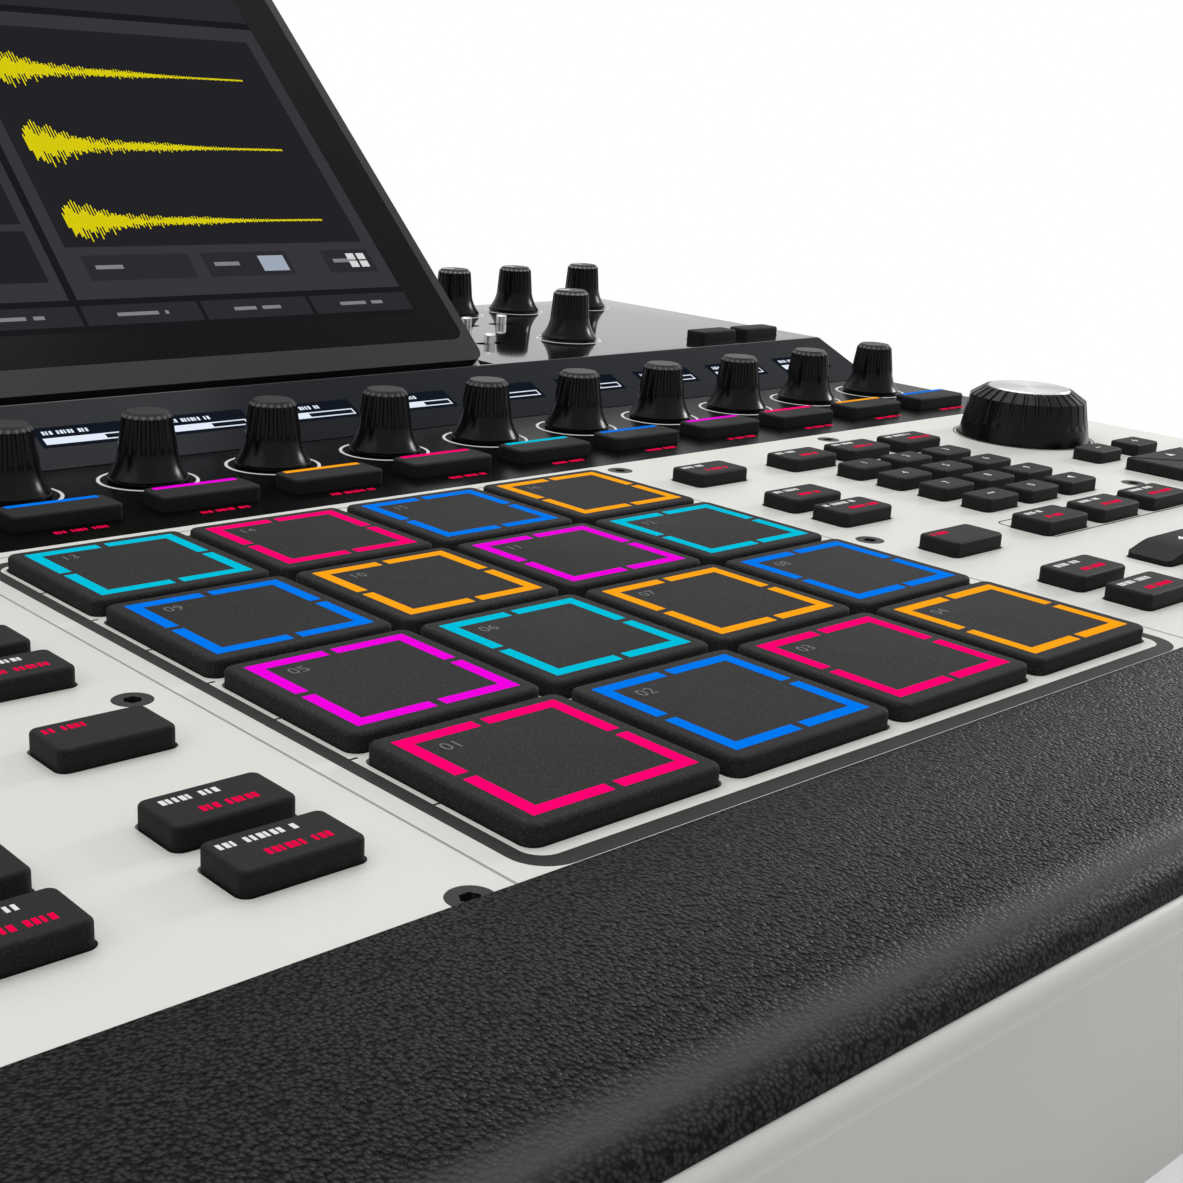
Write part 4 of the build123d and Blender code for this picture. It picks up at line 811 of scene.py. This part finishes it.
class WORKSTATION_OT_screen_page(bpy.types.Operator):
    """Draw a plain sample-editing page on the screen"""
    bl_idname = "workstation.screen_page"
    bl_label = "Screen page"

    def execute(self, context):
        tones = {"page": "1D1D20", "panel": "3A3A40", "inset": "26262A", "button": "2F2F34", "line": "8A8A90",
                 "wave": "FFF000", "chip": "A9B4C4", "white": "E6E6E6"}
        inks = {name: ink("screen_" + name, light, linear(code), 0.85) for name, code in tones.items()}
        layers = {name: [] for name in tones}

        def draw(tone, layer, *edges):
            """Add a flat block whose left, lower, right and upper edges are in millimetres on the screen."""
            left, foot, right, head = (edge * MM for edge in edges)
            layers[tone].append(((left, foot, 0.01 * MM), (right, head, (0.03 + 0.02 * layer) * MM)))

        draw("page", 0, -105.4, 19.0, 105.4, 154.0)
        draw("panel", 1, -103.0, 29.7, -1.0, 140.0)
        draw("panel", 1, 1.3, 29.7, 105.4, 140.0)
        draw("button", 1, -105.4, 143.0, 105.4, 154.0)
        for index in range(6):
            left = -105.4 + index * 35.3
            draw("button", 1, left + 0.6, 20.8, left + 34.6, 27.6)
            draw("line", 2, left + 10.0, 23.6, left + 16.0 + index * 2 % 7, 24.8)
            draw("line", 2, left + 18.0 + index * 2 % 7, 23.6, left + 25.0, 24.8)
        draw("inset", 2, 5.0, 48.0, 101.0, 134.0)
        for left, right in ((8.0, 40.0), (44.0, 72.0), (84.0, 101.0)):
            draw("button", 2, left, 36.0, right, 45.0)
            draw("line", 3, left + 3.0, 40.0, left + 11.0, 41.4)
        draw("chip", 3, 62.0, 37.6, 70.5, 43.4)
        for left, foot in ((92.5, 38.0), (96.2, 38.0), (92.5, 41.0), (96.2, 41.0)):
            draw("white", 3, left, foot, left + 2.8, foot + 2.4)
        for index in range(5):
            head = 136.0 - index * 20.5
            draw("inset", 2, -100.0, head - 18.0, -4.0, head)
            draw("chip", 3, -97.0, head - 12.0, -90.0, head - 5.0)
            draw("line", 3, -86.0, head - 7.0, -50.0 - index * 4 % 13, head - 5.4)
            draw("line", 3, -86.0, head - 12.0, -64.0 + index * 5 % 11, head - 10.8)
        for level, tall in ((57.0, 8.5), (86.0, 10.0), (116.0, 9.0)):
            self.wave(layers, level, tall)
        shapes = [(slabs(boxes), inks[name]) for name, boxes in layers.items()]
        piece("screen_page", "display", shapes, screen_matrix())
        return {"FINISHED"}

    def wave(self, layers, level, tall):
        """Columns of a struck sound: a decay times a mix of sines of unlike periods."""
        first, last, pitch = 9.0, 91.0, 0.42
        x = np.arange(first, last, pitch)
        along = (x - first) / (last - first)
        ripple = 0.62 + 0.25 * np.sin(x * 7.3) + 0.3 * np.sin(x * 17.9 + 1.0) * np.cos(x * 3.1)
        reach = tall * np.exp(-3.4 * along) * np.minimum(1, along * 30 + 0.4) * ripple + 0.12
        deep = reach * (0.8 + 0.2 * np.sin(x * 11.7))
        rows = np.stack([np.stack([x, level - deep, np.full(len(x), 0.01)], axis=1),
                         np.stack([x + 0.3, level + reach, np.full(len(x), 0.1)], axis=1)], axis=1)
        layers["wave"] += list(rows * MM)


class WORKSTATION_OT_deck_marks(bpy.types.Operator):
    """Put the white pointer on each deck knob"""
    bl_idname = "workstation.deck_marks"
    bl_label = "Deck marks"

    def execute(self, context):
        s, c = context.scene.workstation_sizes, context.scene.workstation_colours
        white = ink("print_white", printed, c.legend_white)
        start, bevel, end, half = 0.4 * MM, 4.8 * MM, 5.8 * MM, 1.0 * MM
        heading = math.radians(144)
        for name in DECK_KNOBS:
            x, y, _ = middle(name)
            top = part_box(name)[1].z
            points, faces = slabs([((start, -half, -s.inlay), (bevel, half, s.inlay)),
                                   ((bevel, -half, -s.inlay), (end, half, s.inlay))])
            points[:, 2] -= np.clip(points[:, 0] - bevel, 0, None)
            place = Matrix.Translation((x, y, top)) @ Matrix.Rotation(heading, 4, "Z")
            piece(name + "_pointer", name, [((points, faces), white)], np.array(place))
        return {"FINISHED"}


class WORKSTATION_OT_stage(bpy.types.Operator):
    """Set the floor, the soft lights and the camera"""
    bl_idname = "workstation.stage"
    bl_label = "Stage"

    def execute(self, context):
        scene = context.scene
        scene.view_settings.view_transform = "Standard"
        self.floor()
        self.world(scene)
        self.lamps()
        self.camera(scene)
        return {"FINISHED"}

    def floor(self):
        """A pale floor that turns white to the camera further out, and keeps the shadow near the object."""
        half = 4.0
        mesh = bpy.data.meshes.new("floor")
        corners = [(-half, -half, 0), (half, -half, 0), (half, half, 0), (-half, half, 0)]
        mesh.from_pydata(corners, [], [(0, 1, 2, 3)])
        floor = bpy.data.objects.new("floor", mesh)
        bpy.context.scene.collection.objects.link(floor)
        finish = Finish("floor_pale")
        pale, grey = (0.82, 0.82, 0.82), (0.79, 0.79, 0.79)
        finish.set(Base_Color=finish.mix(finish.noise(0.3), pale, grey), Roughness=0.9)
        away = finish.node("ShaderNodeVectorMath", {"operation": "LENGTH"}, {0: finish.place}, 1)
        out = finish.ramp(away, 0.3, 0.75, 0.55, 1.0)
        white = finish.node("ShaderNodeEmission", {}, {"Color": (1, 1, 1), "Strength": 1.0})
        lit = Value(finish, finish.shader.outputs[0])
        mixed = finish.node("ShaderNodeMixShader", {}, {0: finish.shown() * out, 1: lit, 2: white})
        finish.feed(finish.tree.nodes["Material Output"].inputs["Surface"], mixed)
        mesh.materials.append(finish.material)

    def world(self, scene):
        """Soft even light, and white to the camera."""
        world = bpy.data.worlds.new("studio")
        world.use_nodes = True
        scene.world = world
        build = Nodes(world.node_tree)
        fill = build.node("ShaderNodeBackground", {}, {"Color": (1, 1, 1), "Strength": 0.38})
        white = build.node("ShaderNodeBackground", {}, {"Color": (1, 1, 1), "Strength": 1.0})
        mixed = build.node("ShaderNodeMixShader", {}, {0: build.shown(), 1: fill, 2: white})
        build.feed(world.node_tree.nodes["World Output"].inputs["Surface"], mixed)

    def lamps(self):
        """Soft panels over and behind, at the left and in front, and a small one at the right for sheen."""
        panels = (("over", (0.1, 0.5, 1.5), 1.4, 12.0), ("left", (-1.2, 0.1, 0.9), 1.0, 3.0),
                  ("front", (0.5, -1.3, 0.9), 1.0, 0.6), ("right", (1.25, -0.12, 0.5), 0.24, 5.0))
        aim = Vector((0, 0, 0.05))
        for name, place, size, power in panels:
            data = bpy.data.lights.new(name, "AREA")
            data.size = size
            data.energy = power
            made = bpy.data.objects.new(name, data)
            made.location = place
            made.rotation_euler = (aim - Vector(place)).to_track_quat("-Z", "Y").to_euler()
            bpy.context.scene.collection.objects.link(made)

    def camera(self, scene):
        """The photograph's view, from its place relative to the middle of the pads' tops."""
        data = bpy.data.cameras.new("view")
        data.sensor_width = 36.0
        data.lens = 51.05
        data.clip_start = 0.01
        ahead = Vector((0.6641, 0.6921, -0.2827)).normalized()
        side = ahead.cross(Vector((0, 0, 1))).normalized()
        up = side.cross(ahead)
        roll = math.radians(3.22)
        right = side * math.cos(roll) + up * math.sin(roll)
        place = Matrix((right, right.cross(ahead), -ahead)).transposed().to_4x4()
        pads = Vector((PAD_CENTRE[0], PAD_CENTRE[1], PAD_TOP))
        place.translation = pads + Vector((-202.99, -216.73, 87.35)) * MM
        made = bpy.data.objects.new("view", data)
        made.matrix_world = place
        scene.collection.objects.link(made)
        scene.camera = made


OPERATORS = (WORKSTATION_OT_finishes, WORKSTATION_OT_front_rest, WORKSTATION_OT_pad_lights,
             WORKSTATION_OT_panel_prints, WORKSTATION_OT_key_marks, WORKSTATION_OT_strip_lights,
             WORKSTATION_OT_small_displays, WORKSTATION_OT_screen_page, WORKSTATION_OT_deck_marks,
             WORKSTATION_OT_stage)


class WORKSTATION_PT_panel(bpy.types.Panel):
    """Lists the workstation's operators"""
    bl_idname = "WORKSTATION_PT_panel"
    bl_label = "Workstation"
    bl_space_type = "VIEW_3D"
    bl_region_type = "UI"
    bl_category = "Workstation"

    def draw(self, context):
        for operator in OPERATORS:
            self.layout.operator(operator.bl_idname)


CLASSES = (WorkstationSizes, WorkstationColours, *OPERATORS, WORKSTATION_PT_panel)


def register():
    for item in CLASSES:
        bpy.utils.register_class(item)
    bpy.types.Scene.workstation_sizes = PointerProperty(type=WorkstationSizes)
    bpy.types.Scene.workstation_colours = PointerProperty(type=WorkstationColours)


def unregister():
    del bpy.types.Scene.workstation_colours
    del bpy.types.Scene.workstation_sizes
    for item in reversed(CLASSES):
        bpy.utils.unregister_class(item)


def main():
    register()
    for operator in OPERATORS:
        group, name = operator.bl_idname.split(".")
        getattr(getattr(bpy.ops, group), name)()


if __name__ == "__main__":
    main()
